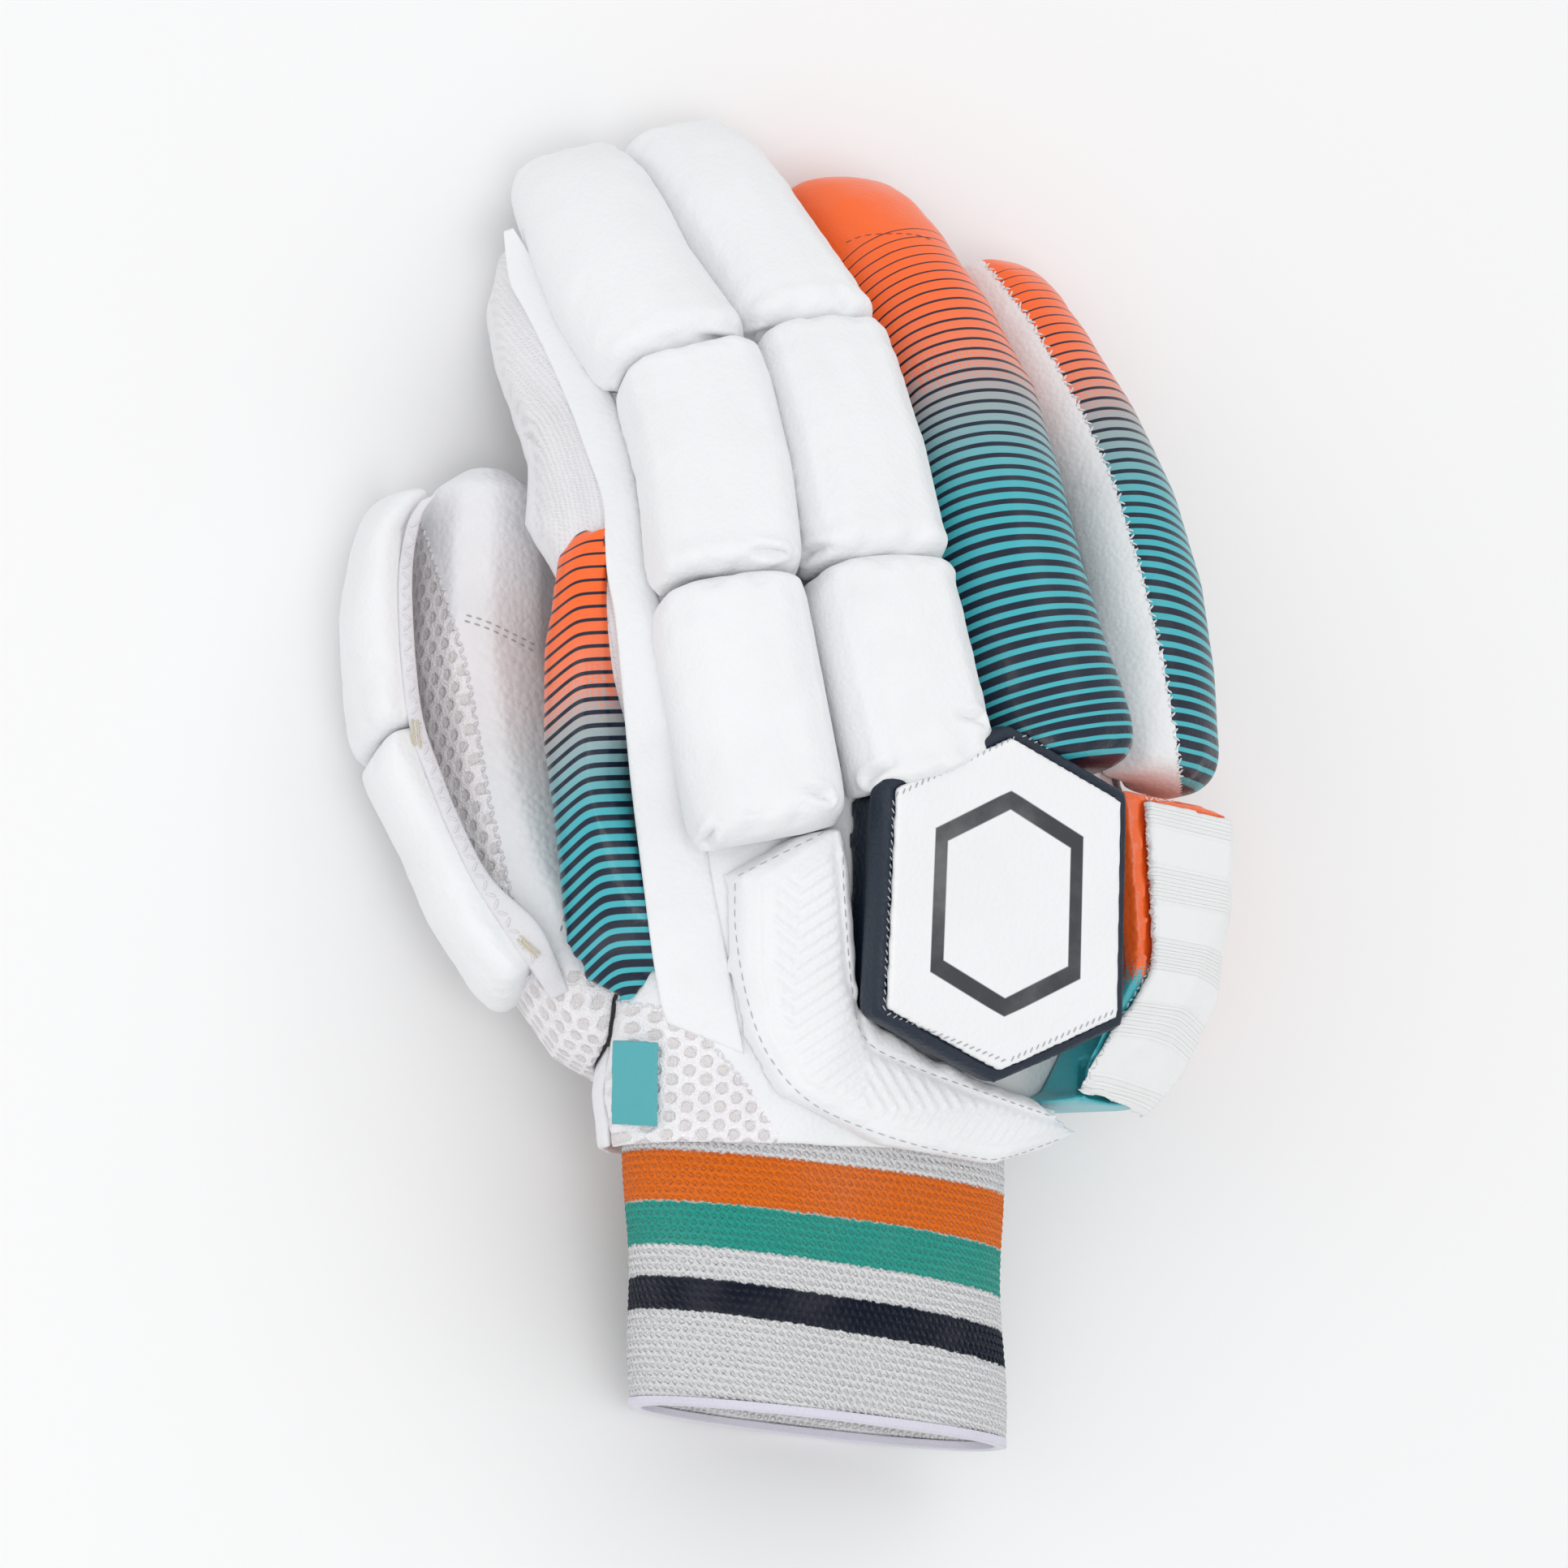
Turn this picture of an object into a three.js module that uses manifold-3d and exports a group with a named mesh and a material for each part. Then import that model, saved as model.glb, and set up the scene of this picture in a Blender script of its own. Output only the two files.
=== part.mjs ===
// A right-hand cricket batting glove lying palm down on a table: leather palm and finger stalls, knitted
// backs, padded rolls and blocks over the back of the hand, a padded thumb and a knitted wrist cuff.
// Millimetres, +Z up, +Y towards the fingertips, +X towards the little finger; the table is z = 0.

import * as THREE from "three";
import { mergeVertices } from "three/addons/utils/BufferGeometryUtils.js";
import Module from "manifold-3d";

const wasm = await Module();
wasm.setup();
const { Vector3 } = THREE;
const rad = THREE.MathUtils.degToRad;
const { lerp } = THREE.MathUtils;

// Driving dimensions of the hand that the glove is cut for
const HAND_LENGTH = 102; // wrist seam to the finger crotches
const HAND_WIDTH = 116; // measured round the knuckle arch
const HAND_THICKNESS = 42; // outside of the leather, back to palm
const HAND_SQUARENESS = 2.7; // 2 is an ellipse
const ARCH_RADIUS = 106; // transverse arch of the knuckles
const KNUCKLE_HEIGHT = 52.7; // middle of the hand above the table, at the knuckles
const WRIST_HEIGHT = 39; // the same at the wrist seam
const HAND_ROLL = 13; // degrees; the little-finger side lies lower

// Finger and thumb stalls
const FINGER_LENGTH = 146; // middle finger, knuckle to the end of its padding
const FINGER_PITCH = 27.8; // spacing of the finger roots round the arch
const TIP_COVER = 8; // padding beyond the end of a stall
const FINGER_WIDTH = 25;
const FINGER_HEIGHT = 22;
const THUMB_LENGTH = 112;
const THUMB_WIDTH = 31;
const THUMB_HEIGHT = 31;
const STALL_START = 8; // start of a finger stall, along its spine
const STALL_MOUTH = 14; // its hollow starts this much earlier
const PAST_END = 30; // how far the solids that cut run past what they cut

// Leather, knit and gaps
const LEATHER = 1.8;
const KNIT = 2.4;
const SEAM_GAP = 0.35; // between pieces that are sewn together
const PAD_GAP = 0.9; // between neighbouring pads

// Padding
const PAD_THICKNESS = 15;
const PAD_WIDTH = 31.5;
const PAD_SINK = 4; // how far a pad's seat lies below the top of its stall
const PAD_ROUND = 7; // rounding of a pad's cut ends
const TIP_ROUND = 26; // rounding of a pad over a fingertip
const THUMB_PAD_THICKNESS = 12.5;
const THUMB_PAD_WIDTH = 33;
const THUMB_PAD_SINK = 5;
const SIDE_ROLL_WIDTH = 21;
const SIDE_ROLL_THICKNESS = 14;

// Hexagonal block and outer wing
const BADGE_WIDTH = 56;
const BADGE_LENGTH = 65;
const BADGE_POINT = 12; // height of each pointed end
const BADGE_THICKNESS = 13;
const FACE_THICKNESS = 1.2;
const FACE_INSET = 2.2;
const WING_LENGTH = 72;
const WING_THICKNESS = 18.5;
const PANEL_WIDTH = 79;
const PANEL_THICKNESS = 8;

// Cuff
const CUFF_LENGTH = 54; // below the wrist seam
const CUFF_TUCK = 9; // sewn inside the hand
const CUFF_WIDTH = 82.5;
const CUFF_ASIDE = 2.6; // towards the little-finger side from the middle of the wrist
const CUFF_HEIGHT = 40;
const CUFF_SLOPE = 18.8; // degrees, down to the table
const CUFF_TURN = 9; // degrees, towards the little-finger side
const CUFF_SKEW = 5; // degrees, the end is longer on that side
const HEM_WIDTH = 4;

// Label tab
const LABEL_WIDTH = 10.5;
const LABEL_LENGTH = 17;
const LABEL_THICKNESS = 0.9;

// Places of the hand sections from the wrist seam (0) to the finger crotches (1). across and wide are
// shares of half HAND_WIDTH, rise is a share of the way from WRIST_HEIGHT to KNUCKLE_HEIGHT, thick is a share
// of half HAND_THICKNESS, bend is a share of the knuckles' arch and roll is a share of HAND_ROLL.
const HAND_SECTIONS = [
  { at: 0.0, across: -0.1, rise: 0.0, wide: 0.745, thick: 1.13, bend: 0.2, roll: 0.3 },
  { at: 0.12, across: 0.0, rise: 0.1, wide: 0.89, thick: 1.17, bend: 0.35, roll: 0.5 },
  { at: 0.3, across: 0.13, rise: 0.3, wide: 0.99, thick: 1.18, bend: 0.55, roll: 0.75 },
  { at: 0.5, across: 0.22, rise: 0.6, wide: 1.02, thick: 1.14, bend: 0.8, roll: 0.95 },
  { at: 0.7, across: 0.26, rise: 0.95, wide: 0.99, thick: 1.03, bend: 1.0, roll: 1.0 },
  { at: 0.86, across: 0.25, rise: 1.0, wide: 0.96, thick: 0.96, bend: 1.0, roll: 1.0 },
  { at: 1.0, across: 0.22, rise: 0.8, wide: 0.94, thick: 0.9, bend: 1.0, roll: 1.0 },
];
const KNUCKLE_AT = 0.735; // where the finger spines start, as a share of HAND_LENGTH

// Finger spines from the knuckle to the end of the padding. slot counts FINGER_PITCH from the middle of the
// arch; back, ahead, aside and down are shares of FINGER_LENGTH: back is how far the spine starts behind the knuckle
// line, and the others are the steps from there forward, towards the thumb and down. slim scales the width of the
// stall, gusset widens it by that share on the thumb side and shift moves the padding across it.
const FINGERS = {
  index: {
    slot: -1.5,
    back: 0.104,
    slim: 1.18,
    gusset: 0.36,
    shift: [0.015, 0.06],
    ahead: [0.308, 0.611, 0.78, 0.95],
    aside: [0.06, 0.075, 0.135, 0.168],
    down: [0.041, 0.175, 0.295, 0.445],
  },
  middle: {
    slot: -0.5,
    back: 0.0,
    slim: 1.0,
    gusset: 0,
    shift: [0, 0],
    ahead: [0.24, 0.551, 0.686, 0.925],
    aside: [0.044, 0.068, 0.1, 0.172],
    down: [0.037, 0.172, 0.272, 0.452],
  },
  ring: {
    slot: 0.5,
    back: -0.037,
    slim: 0.98,
    gusset: 0,
    shift: [0, 0],
    ahead: [0.182, 0.342, 0.532, 0.835],
    aside: [0.04, 0.052, 0.062, 0.155],
    down: [0.032, 0.088, 0.188, 0.402],
  },
  little: {
    slot: 1.5,
    back: -0.012,
    slim: 0.9,
    gusset: 0,
    shift: [0, 0],
    ahead: [0.178, 0.309, 0.464, 0.757],
    aside: [-0.004, -0.016, -0.01, 0.09],
    down: [0.019, 0.062, 0.132, 0.295],
  },
};
// Thumb spine: points as shares of THUMB_LENGTH from the wrist seam's middle, and the roll of its back
const THUMB_POINTS = [
  { x: -0.22, y: 0.17, z: 0.34 },
  { x: -0.484, y: 0.343, z: 0.262 },
  { x: -0.547, y: 0.54, z: 0.21 },
  { x: -0.59, y: 0.754, z: 0.165 },
  { x: -0.602, y: 0.968, z: 0.133 },
  { x: -0.578, y: 1.35, z: 0.122 },
];
const THUMB_ROLL = -80;

const THUMB_TIP_BARE = 16; // leather beyond the thumb padding
const THUMB_SPLIT = 0.562; // seam between the thumb pads, as a share of its spine

// Places of the blocks: at is a share of HAND_LENGTH from the wrist seam, WING_W is round the arch
const BADGE_AT = 0.48;
const BADGE_ASIDE = -0.008;
const WING_AT = 0.5;
const WING_W = 46;
const PANEL_AT = 0.3;
const LABEL_AT = 0.12;
const LABEL_ANGLE = 154; // degrees round the section, from the little-finger side
// Outlines seen along the outward direction of each frame, counter-clockwise
const WING_OUTLINE = [
  { x: -0.3, y: 0.31 },
  { x: -0.2, y: -0.14 },
  { x: -0.35, y: -0.52 },
  { x: -0.43, y: -0.58 },
  { x: -0.1, y: -0.62 },
  { x: 0.1, y: -0.47 },
  { x: 0.28, y: -0.18 },
  { x: 0.33, y: 0.2 },
  { x: 0.26, y: 0.31 },
];
const PANEL_OUTLINE = [
  { x: -0.57, y: 0.29 },
  { x: -0.56, y: 0.04 },
  { x: -0.52, y: -0.12 },
  { x: -0.43, y: -0.26 },
  { x: -0.15, y: -0.38 },
  { x: 0.18, y: -0.42 },
  { x: 0.54, y: -0.36 },
  { x: 0.55, y: -0.3 },
  { x: 0.1, y: -0.2 },
  { x: -0.2, y: -0.1 },
  { x: -0.27, y: 0.05 },
  { x: -0.32, y: 0.42 },
  { x: -0.34, y: 0.46 },
];
const SIDE_ROLL_TILT = -62;
const SIDE_ROLL_ROUTE = [
  { at: 0.25, w: -0.82, h: 0.0 },
  { at: 0.4, w: -0.99, h: 0.08 },
  { at: 0.66, w: -1.18, h: 0.26 },
  { at: 0.94, w: -1.22, h: 0.36 },
  { at: 1.26, w: -1.12, h: 0.2 },
];

// Helpers for numbers and sections

// Smooth value of one column of a table, or of a list with equal steps, at t from 0 to 1
function smooth(rows, t, column) {
  const places = rows.map((row, i) => (column ? row.at : i / (rows.length - 1)));
  const values = rows.map((row) => (column ? row[column] : row));
  let i = 0;
  while (i < places.length - 2 && t > places[i + 1]) i += 1;
  const slope = (j) => {
    const a = Math.max(0, j - 1);
    const b = Math.min(places.length - 1, j + 1);
    return (values[b] - values[a]) / (places[b] - places[a]);
  };
  const span = places[i + 1] - places[i];
  const u = Math.min(1, Math.max(0, (t - places[i]) / span));
  const start = (2 * u ** 3 - 3 * u ** 2 + 1) * values[i] + (u ** 3 - 2 * u ** 2 + u) * span * slope(i);
  const end = (3 * u ** 2 - 2 * u ** 3) * values[i + 1] + (u ** 3 - u ** 2) * span * slope(i + 1);
  return start + end;
}

// Points of a rounded rectangle, counter-clockwise, as [across, up]
function roundedRing(halfWide, halfHigh, power, count) {
  const ring = [];
  for (let i = 0; i < count; i += 1) {
    const angle = (2 * Math.PI * (i + 0.5)) / count;
    const c = Math.cos(angle);
    const s = Math.sin(angle);
    ring.push([
      halfWide * Math.sign(c) * Math.abs(c) ** (2 / power),
      halfHigh * Math.sign(s) * Math.abs(s) ** (2 / power),
    ]);
  }
  return ring;
}

// A pad's section: a flat seat below and a rounded top, as [across, up]
function padRing(halfWide, seat, top, power, count) {
  const ring = [
    [-halfWide * 0.96, seat],
    [halfWide * 0.96, seat],
  ];
  const foot = seat + (top - seat) * 0.25;
  for (let i = 0; i < count; i += 1) {
    const angle = (Math.PI * i) / (count - 1);
    const c = Math.cos(angle);
    ring.push([
      halfWide * Math.sign(c) * Math.abs(c) ** (2 / power),
      foot + (top - foot) * Math.sin(angle) ** (2 / power),
    ]);
  }
  return ring;
}

// Solids

// A closed solid through rings of points, with a fan over each end
function loft(rings) {
  const count = rings[0].length;
  const centre = (ring) => ring.reduce((sum, p) => sum.add(p), new Vector3()).divideScalar(count);
  const points = [...rings.flat(), centre(rings[0]), centre(rings.at(-1))];
  const faces = [];
  for (let k = 0; k < count; k += 1) {
    const next = (k + 1) % count;
    for (let r = 0; r + 1 < rings.length; r += 1) {
      const [a, b] = [r * count + k, r * count + next];
      faces.push(a, b, b + count, a, b + count, a + count);
    }
    const last = (rings.length - 1) * count;
    faces.push(points.length - 2, next, k, points.length - 1, last + k, last + next);
  }
  const made = solidFrom(points, faces);
  if (made.volume() > 0) return made;
  return solidFrom(points, faces.reverse());
}

function solidFrom(points, faces) {
  return new wasm.Manifold(
    new wasm.Mesh({
      numProp: 3,
      vertProperties: new Float32Array(points.flatMap((p) => p.toArray())),
      triVerts: new Uint32Array(faces),
    }),
  );
}

// A three.js geometry as a solid
function solidOf(geometry) {
  const plain = geometry.clone();
  plain.deleteAttribute("normal");
  plain.deleteAttribute("uv");
  const merged = mergeVertices(plain, 1e-4);
  return new wasm.Manifold(
    new wasm.Mesh({
      numProp: 3,
      vertProperties: merged.attributes.position.array,
      triVerts: new Uint32Array(merged.index.array),
    }),
  );
}

function union(solids) {
  return solids.reduce((sum, solid) => sum.add(solid));
}

function largest(solid) {
  const parts = solid.decompose();
  return parts.reduce((best, part) => (part.volume() > best.volume() ? part : best));
}

// Everything below the table, which flattens what rests on it
const BELOW_TABLE = solidOf(new THREE.BoxGeometry(800, 800, 100).translate(0, 0, -50));

// The hand

const wristY = -HAND_LENGTH * KNUCKLE_AT;

// The frame of a hand section: its middle, its bend and its directions
function handFrame(at) {
  const roll = rad(HAND_ROLL * smooth(HAND_SECTIONS, at, "roll"));
  const rise = smooth(HAND_SECTIONS, at, "rise");
  return {
    middle: new Vector3(
      (smooth(HAND_SECTIONS, at, "across") * HAND_WIDTH) / 2,
      wristY + at * HAND_LENGTH,
      WRIST_HEIGHT + rise * (KNUCKLE_HEIGHT - WRIST_HEIGHT),
    ),
    side: new Vector3(Math.cos(roll), 0, -Math.sin(roll)),
    up: new Vector3(Math.sin(roll), 0, Math.cos(roll)),
    halfWide: (smooth(HAND_SECTIONS, at, "wide") * HAND_WIDTH) / 2,
    halfThick: (smooth(HAND_SECTIONS, at, "thick") * HAND_THICKNESS) / 2,
    radius: ARCH_RADIUS / smooth(HAND_SECTIONS, at, "bend"),
    roll,
  };
}

// A point of the hand: w round the arch and h out from its middle layer
function handPoint(frame, w, h) {
  const turn = w / frame.radius;
  const reach = frame.radius + h;
  return frame.middle
    .clone()
    .addScaledVector(frame.side, reach * Math.sin(turn))
    .addScaledVector(frame.up, reach * Math.cos(turn) - frame.radius);
}

// The solid of the hand grown or shrunk by an offset; extra lengthens it at the wrist and the crotches
function handSolid(grow, extra = 0) {
  const places = [0, 0.12, 0.3, 0.52, 0.76, 1];
  const stations = places.map((at) => [at, 0]);
  if (extra !== 0) stations.unshift([0, -extra]);
  if (extra !== 0) stations.push([1, extra]);
  const rings = stations.map(([at, shift]) => {
    const frame = handFrame(at);
    const ring = roundedRing(frame.halfWide + grow, frame.halfThick + grow, HAND_SQUARENESS, 16);
    return ring.map(([w, h]) => handPoint(frame, w, h).add(new Vector3(0, shift, 0)));
  });
  return loft(rings);
}

// Spines: a path with a frame at each step

function spineFrom(points, rollAt, steps) {
  const curve = new THREE.CatmullRomCurve3(points, false, "centripetal");
  const frames = [];
  for (let i = 0; i <= steps; i += 1) {
    const share = i / steps;
    const along = curve.getTangentAt(share).normalize();
    const level = new Vector3(0, 0, 1).addScaledVector(along, -along.z).normalize();
    const side = along.clone().cross(level).normalize();
    const roll = rollAt(share);
    frames.push({
      point: curve.getPointAt(share),
      along,
      side: side.clone().multiplyScalar(Math.cos(roll)).addScaledVector(level, -Math.sin(roll)),
      up: level.clone().multiplyScalar(Math.cos(roll)).addScaledVector(side, Math.sin(roll)),
    });
  }
  return { length: curve.getLength(), frames };
}

// The frame at a length along a spine, carried straight on past its ends
function frameAt(spine, length) {
  const step = spine.length / (spine.frames.length - 1);
  const clamped = Math.min(Math.max(length, 0), spine.length);
  const index = Math.min(spine.frames.length - 2, Math.floor(clamped / step));
  const share = clamped / step - index;
  const [a, b] = [spine.frames[index], spine.frames[index + 1]];
  const mix = (key) => a[key].clone().lerp(b[key], share);
  const along = mix("along").normalize();
  return {
    point: mix("point").addScaledVector(along, length - clamped),
    along,
    side: mix("side").normalize(),
    up: mix("up").normalize(),
  };
}

function place(frame, w, h) {
  return frame.point.clone().addScaledVector(frame.side, w).addScaledVector(frame.up, h);
}

// A finger's spine starts under the knuckle, flush with the back of the hand
function fingerSpine({ slot, back, ahead, aside, down }) {
  const knuckle = handFrame(KNUCKLE_AT);
  const w = slot * FINGER_PITCH;
  const start = handPoint(knuckle, w, (HAND_THICKNESS - FINGER_HEIGHT) / 2);
  start.y -= back * FINGER_LENGTH;
  const steps = ahead.map((share, i) => new Vector3(-aside[i], share, -down[i]).multiplyScalar(FINGER_LENGTH));
  const tilt = knuckle.roll + w / knuckle.radius;
  return spineFrom([start, ...steps.map((step) => step.add(start))], () => tilt, 24);
}

// A tube with a rounded end along a spine, for the outside and the hollow of a stall
function stallSolid(spine, start, width, height, grow, gusset = 0, power = 2.5) {
  const end = spine.length - TIP_COVER + grow;
  const halfWide = width / 2 + grow;
  const halfHigh = height / 2 + grow;
  const body = end - halfHigh;
  const places = [];
  const straight = 5;
  for (let i = 0; i <= straight; i += 1) places.push([start + ((body - start) * i) / straight, 1]);
  for (const turn of [40, 72]) {
    places.push([body + halfHigh * Math.sin(rad(turn)), Math.cos(rad(turn))]);
  }
  const rings = places.map(([length, scale]) => {
    const taper = 1 - 0.12 * Math.max(0, length / spine.length) ** 2;
    const ring = roundedRing(halfWide * scale * taper, halfHigh * scale * taper, power, 10);
    const frame = frameAt(spine, length);
    const swell = 1 + gusset * Math.sin(Math.PI * Math.min(1, Math.max(0, length / spine.length))) ** 2;
    return ring.map(([w, h]) => place(frame, w < 0 ? w * swell : w, h));
  });
  return loft(rings);
}

// A fat slab on the palm side of a spine, used to part a stall into its front and its back
function palmSide(spine, level, reach) {
  const rings = [];
  const steps = 9;
  for (let i = 0; i <= steps; i += 1) {
    const length = -30 + ((spine.length + 60) * i) / steps;
    const frame = frameAt(spine, length);
    const ring = [
      [-reach, level - reach],
      [reach, level - reach],
      [reach, level],
      [-reach, level],
    ];
    rings.push(ring.map(([w, h]) => place(frame, w, h)));
  }
  return loft(rings);
}

// The part of space on the thumb side of a spine, up to a distance across it
function sideOf(spine, across) {
  const rings = [];
  const steps = 9;
  for (let i = 0; i <= steps; i += 1) {
    const frame = frameAt(spine, -20 + ((spine.length + 40) * i) / steps);
    const ring = [
      [across - 40, -40],
      [across, -40],
      [across, 60],
      [across - 40, 60],
    ];
    rings.push(ring.map(([w, h]) => place(frame, w, h)));
  }
  return loft(rings);
}

// A pad along a spine. from and to are lengths along it, wide is the width at each end, rounds the length over
// which each end is rounded, shift the place across and seat and top the heights above the spine.
function padSolid(spine, pad, grow = 0) {
  const [roundFrom, roundTo] = pad.rounds;
  const from = pad.from - grow;
  const to = pad.to + grow;
  const places = [0, 0.12, 0.45, 1].map((share) => from + roundFrom * share);
  const inner = Math.max(2, Math.round((pad.to - roundTo - pad.from - roundFrom) / 18));
  for (let i = 1; i < inner; i += 1) {
    places.push(from + roundFrom + ((to - roundTo - from - roundFrom) * i) / inner);
  }
  const ending = roundTo > 15 ? [1, 0.6, 0.3, 0.1, 0] : [1, 0.45, 0.12, 0];
  places.push(...ending.map((share) => to - roundTo * share));
  const rings = places.map((length) => {
    const near = Math.min((length - from) / roundFrom, (to - length) / roundTo, 1);
    const blunt = (to - length) / roundTo < 1 && roundTo > 15 ? 0.2 : 0.55;
    const fill = blunt + (1 - blunt) * Math.sqrt(Math.max(0, 1 - (1 - near) ** 2));
    const share = (length - from) / (to - from);
    const wide = lerp(...pad.wide, share);
    const shift = lerp(...pad.shift, share);
    const halfWide = (wide / 2) * (0.75 + 0.25 * fill) + grow;
    const top = pad.seat + (pad.top - pad.seat) * (0.12 + 0.88 * fill) + grow;
    const frame = frameAt(spine, length);
    return padRing(halfWide, pad.seat - grow, top, 3, 7).map(([w, h]) => place(frame, w + shift, h));
  });
  return loft(rings);
}

// A block with a flat top: an outline in a frame's plane, raised along its normal, with an eased top edge
function blockSolid(frame, outline, bottom, top, ease, grow = 0) {
  const middle = outline.reduce(([x, y], p) => [x + p[0], y + p[1]], [0, 0]).map((v) => v / outline.length);
  const ring = (offset, height) =>
    outline.map(([x, y]) => {
      const away = Math.hypot(x - middle[0], y - middle[1]);
      const scale = (away + offset + grow) / away;
      return frame.point
        .clone()
        .addScaledVector(frame.side, middle[0] + (x - middle[0]) * scale)
        .addScaledVector(frame.along, middle[1] + (y - middle[1]) * scale)
        .addScaledVector(frame.up, height);
    });
  return loft([
    ring(0, bottom),
    ring(0, top + grow - ease),
    ring(-ease * 0.35, top + grow - ease * 0.35),
    ring(-ease, top + grow),
  ]);
}

// A tangent frame on the back of the hand: w round the arch, at along the hand, tipped by lean degrees in roll
function backFrame(at, w, lean = 0) {
  const frame = handFrame(at);
  const point = handPoint(frame, w, frame.halfThick);
  const ahead = handFrame(Math.min(1, at + 0.05));
  const along = handPoint(ahead, w, ahead.halfThick).sub(point).setX(0).normalize();
  const turn = frame.roll + w / frame.radius + rad(lean);
  const up = new Vector3(Math.sin(turn), 0, Math.cos(turn));
  const side = along.clone().cross(up).normalize();
  return { point, along, side, up: side.clone().cross(along).normalize() };
}

// A frame on the skin of the hand, at an angle round its section from the little-finger side
function skinFrame(at, angle) {
  const point = (place, turn) => {
    const frame = handFrame(place);
    const [c, s] = [Math.cos(rad(turn)), Math.sin(rad(turn))];
    const w = frame.halfWide * Math.sign(c) * Math.abs(c) ** (2 / HAND_SQUARENESS);
    const h = frame.halfThick * Math.sign(s) * Math.abs(s) ** (2 / HAND_SQUARENESS);
    return handPoint(frame, w, h);
  };
  const along = point(at + 0.03, angle).sub(point(at - 0.03, angle)).normalize();
  const across = point(at, angle - 3).sub(point(at, angle + 3));
  const up = across.cross(along).normalize();
  return { point: point(at, angle), along, side: along.clone().cross(up), up };
}

const handOuter = handSolid(0);
const handGrown = handSolid(SEAM_GAP, SEAM_GAP);
const handHollow = handSolid(-LEATHER, 5);

const spines = Object.fromEntries(Object.entries(FINGERS).map(([name, row]) => [name, fingerSpine(row)]));
const thumbPoints = THUMB_POINTS.map(
  ({ x, y, z }) => new Vector3(x * THUMB_LENGTH, wristY + y * THUMB_LENGTH, z * THUMB_LENGTH),
);
spines.thumb = spineFrom(thumbPoints, () => rad(THUMB_ROLL), 20);

// Stall solids of each digit: its outside, its hollow and a grown copy for its neighbours
const stalls = {};
for (const [name, spine] of Object.entries(spines)) {
  const isThumb = name === "thumb";
  const width = isThumb ? THUMB_WIDTH : FINGER_WIDTH * FINGERS[name].slim;
  const height = isThumb ? THUMB_HEIGHT : FINGER_HEIGHT * (0.5 + 0.5 * FINGERS[name].slim);
  const start = isThumb ? 2 : STALL_START + Math.max(0, FINGERS[name].back) * FINGER_LENGTH;
  const gusset = isThumb ? 0 : FINGERS[name].gusset;
  stalls[name] = {
    width,
    height,
    outer: stallSolid(spine, start, width, height, 0, gusset),
    grown: stallSolid(spine, start, width, height, SEAM_GAP, gusset),
    hollow: stallSolid(spine, start - STALL_MOUTH, width, height, -LEATHER, gusset),
  };
}
const gloveGrown = union([handGrown, ...Object.values(stalls).map((stall) => stall.grown)]);

// Assembly

const glove = new THREE.Group();
const colours = {
  white: 0xeef1f2,
  knit: 0xe9e6e8,
  orange: 0xff7336,
  teal: 0x4fb9c0,
  navy: 0x17293f,
};

function addNode(name, solid, colour, roughness = 0.6) {
  const rested = largest(solid.subtract(BELOW_TABLE));
  const mesh = rested.getMesh();
  const geometry = new THREE.BufferGeometry();
  geometry.setAttribute("position", new THREE.BufferAttribute(new Float32Array(mesh.vertProperties), 3));
  geometry.setIndex(new THREE.BufferAttribute(new Uint32Array(mesh.triVerts), 1));
  const material = new THREE.MeshStandardMaterial({ color: colours[colour], roughness, metalness: 0 });
  const node = new THREE.Mesh(geometry, material);
  node.name = name;
  glove.add(node);
}

// Digits: each stall parts into a leather front and a knitted back
for (const [name, spine] of Object.entries(spines)) {
  const { outer, hollow } = stalls[name];
  let shell = outer.subtract(hollow).subtract(handGrown);
  for (const [other, stall] of Object.entries(stalls)) {
    if (other === name) break;
    shell = shell.subtract(stall.grown);
  }
  const level = name === "thumb" ? 3 : 0;
  const front = palmSide(spine, level - SEAM_GAP / 2, 24);
  const back = palmSide(spine, level + SEAM_GAP / 2, 24);
  addNode(`${name}_stall_front`, shell.intersect(front), "white");
  addNode(`${name}_stall_back`, shell.subtract(back), "knit", 0.9);
}

// Hand: a leather palm and a back that carries the padding, open at the wrist and at each digit
const cuffStart = handFrame(0).middle.add(new Vector3(CUFF_ASIDE, 0, 0));
const cuffAlong = new Vector3(-Math.tan(rad(CUFF_TURN)), 1, Math.tan(rad(CUFF_SLOPE)));
const cuffPlaces = [CUFF_TUCK, -CUFF_LENGTH * 0.5, -CUFF_LENGTH];
const cuffFrames = spineFrom(
  cuffPlaces.map((step) => cuffStart.clone().addScaledVector(cuffAlong, step)),
  () => 0,
  8,
);

function cuffSolid(grow, start, end, places = [0, 0.3, 0.65, 1]) {
  const rings = places.map((share) => {
    const length = start + (end - start) * share;
    const frame = frameAt(cuffFrames, length);
    const wrist = handFrame(0);
    const swell = 1 + 0.012 * Math.sin(Math.PI * 3 * share);
    const ring = roundedRing((CUFF_WIDTH / 2) * swell + grow, CUFF_HEIGHT / 2 + grow, 2.2, 20);
    return ring.map(([w, h]) =>
      frame.point
        .clone()
        .addScaledVector(wrist.side, w)
        .addScaledVector(wrist.up, h)
        .add(new Vector3(0, (-w * Math.tan(rad(CUFF_SKEW)) * length) / cuffFrames.length, 0)),
    );
  });
  return loft(rings);
}

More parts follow.
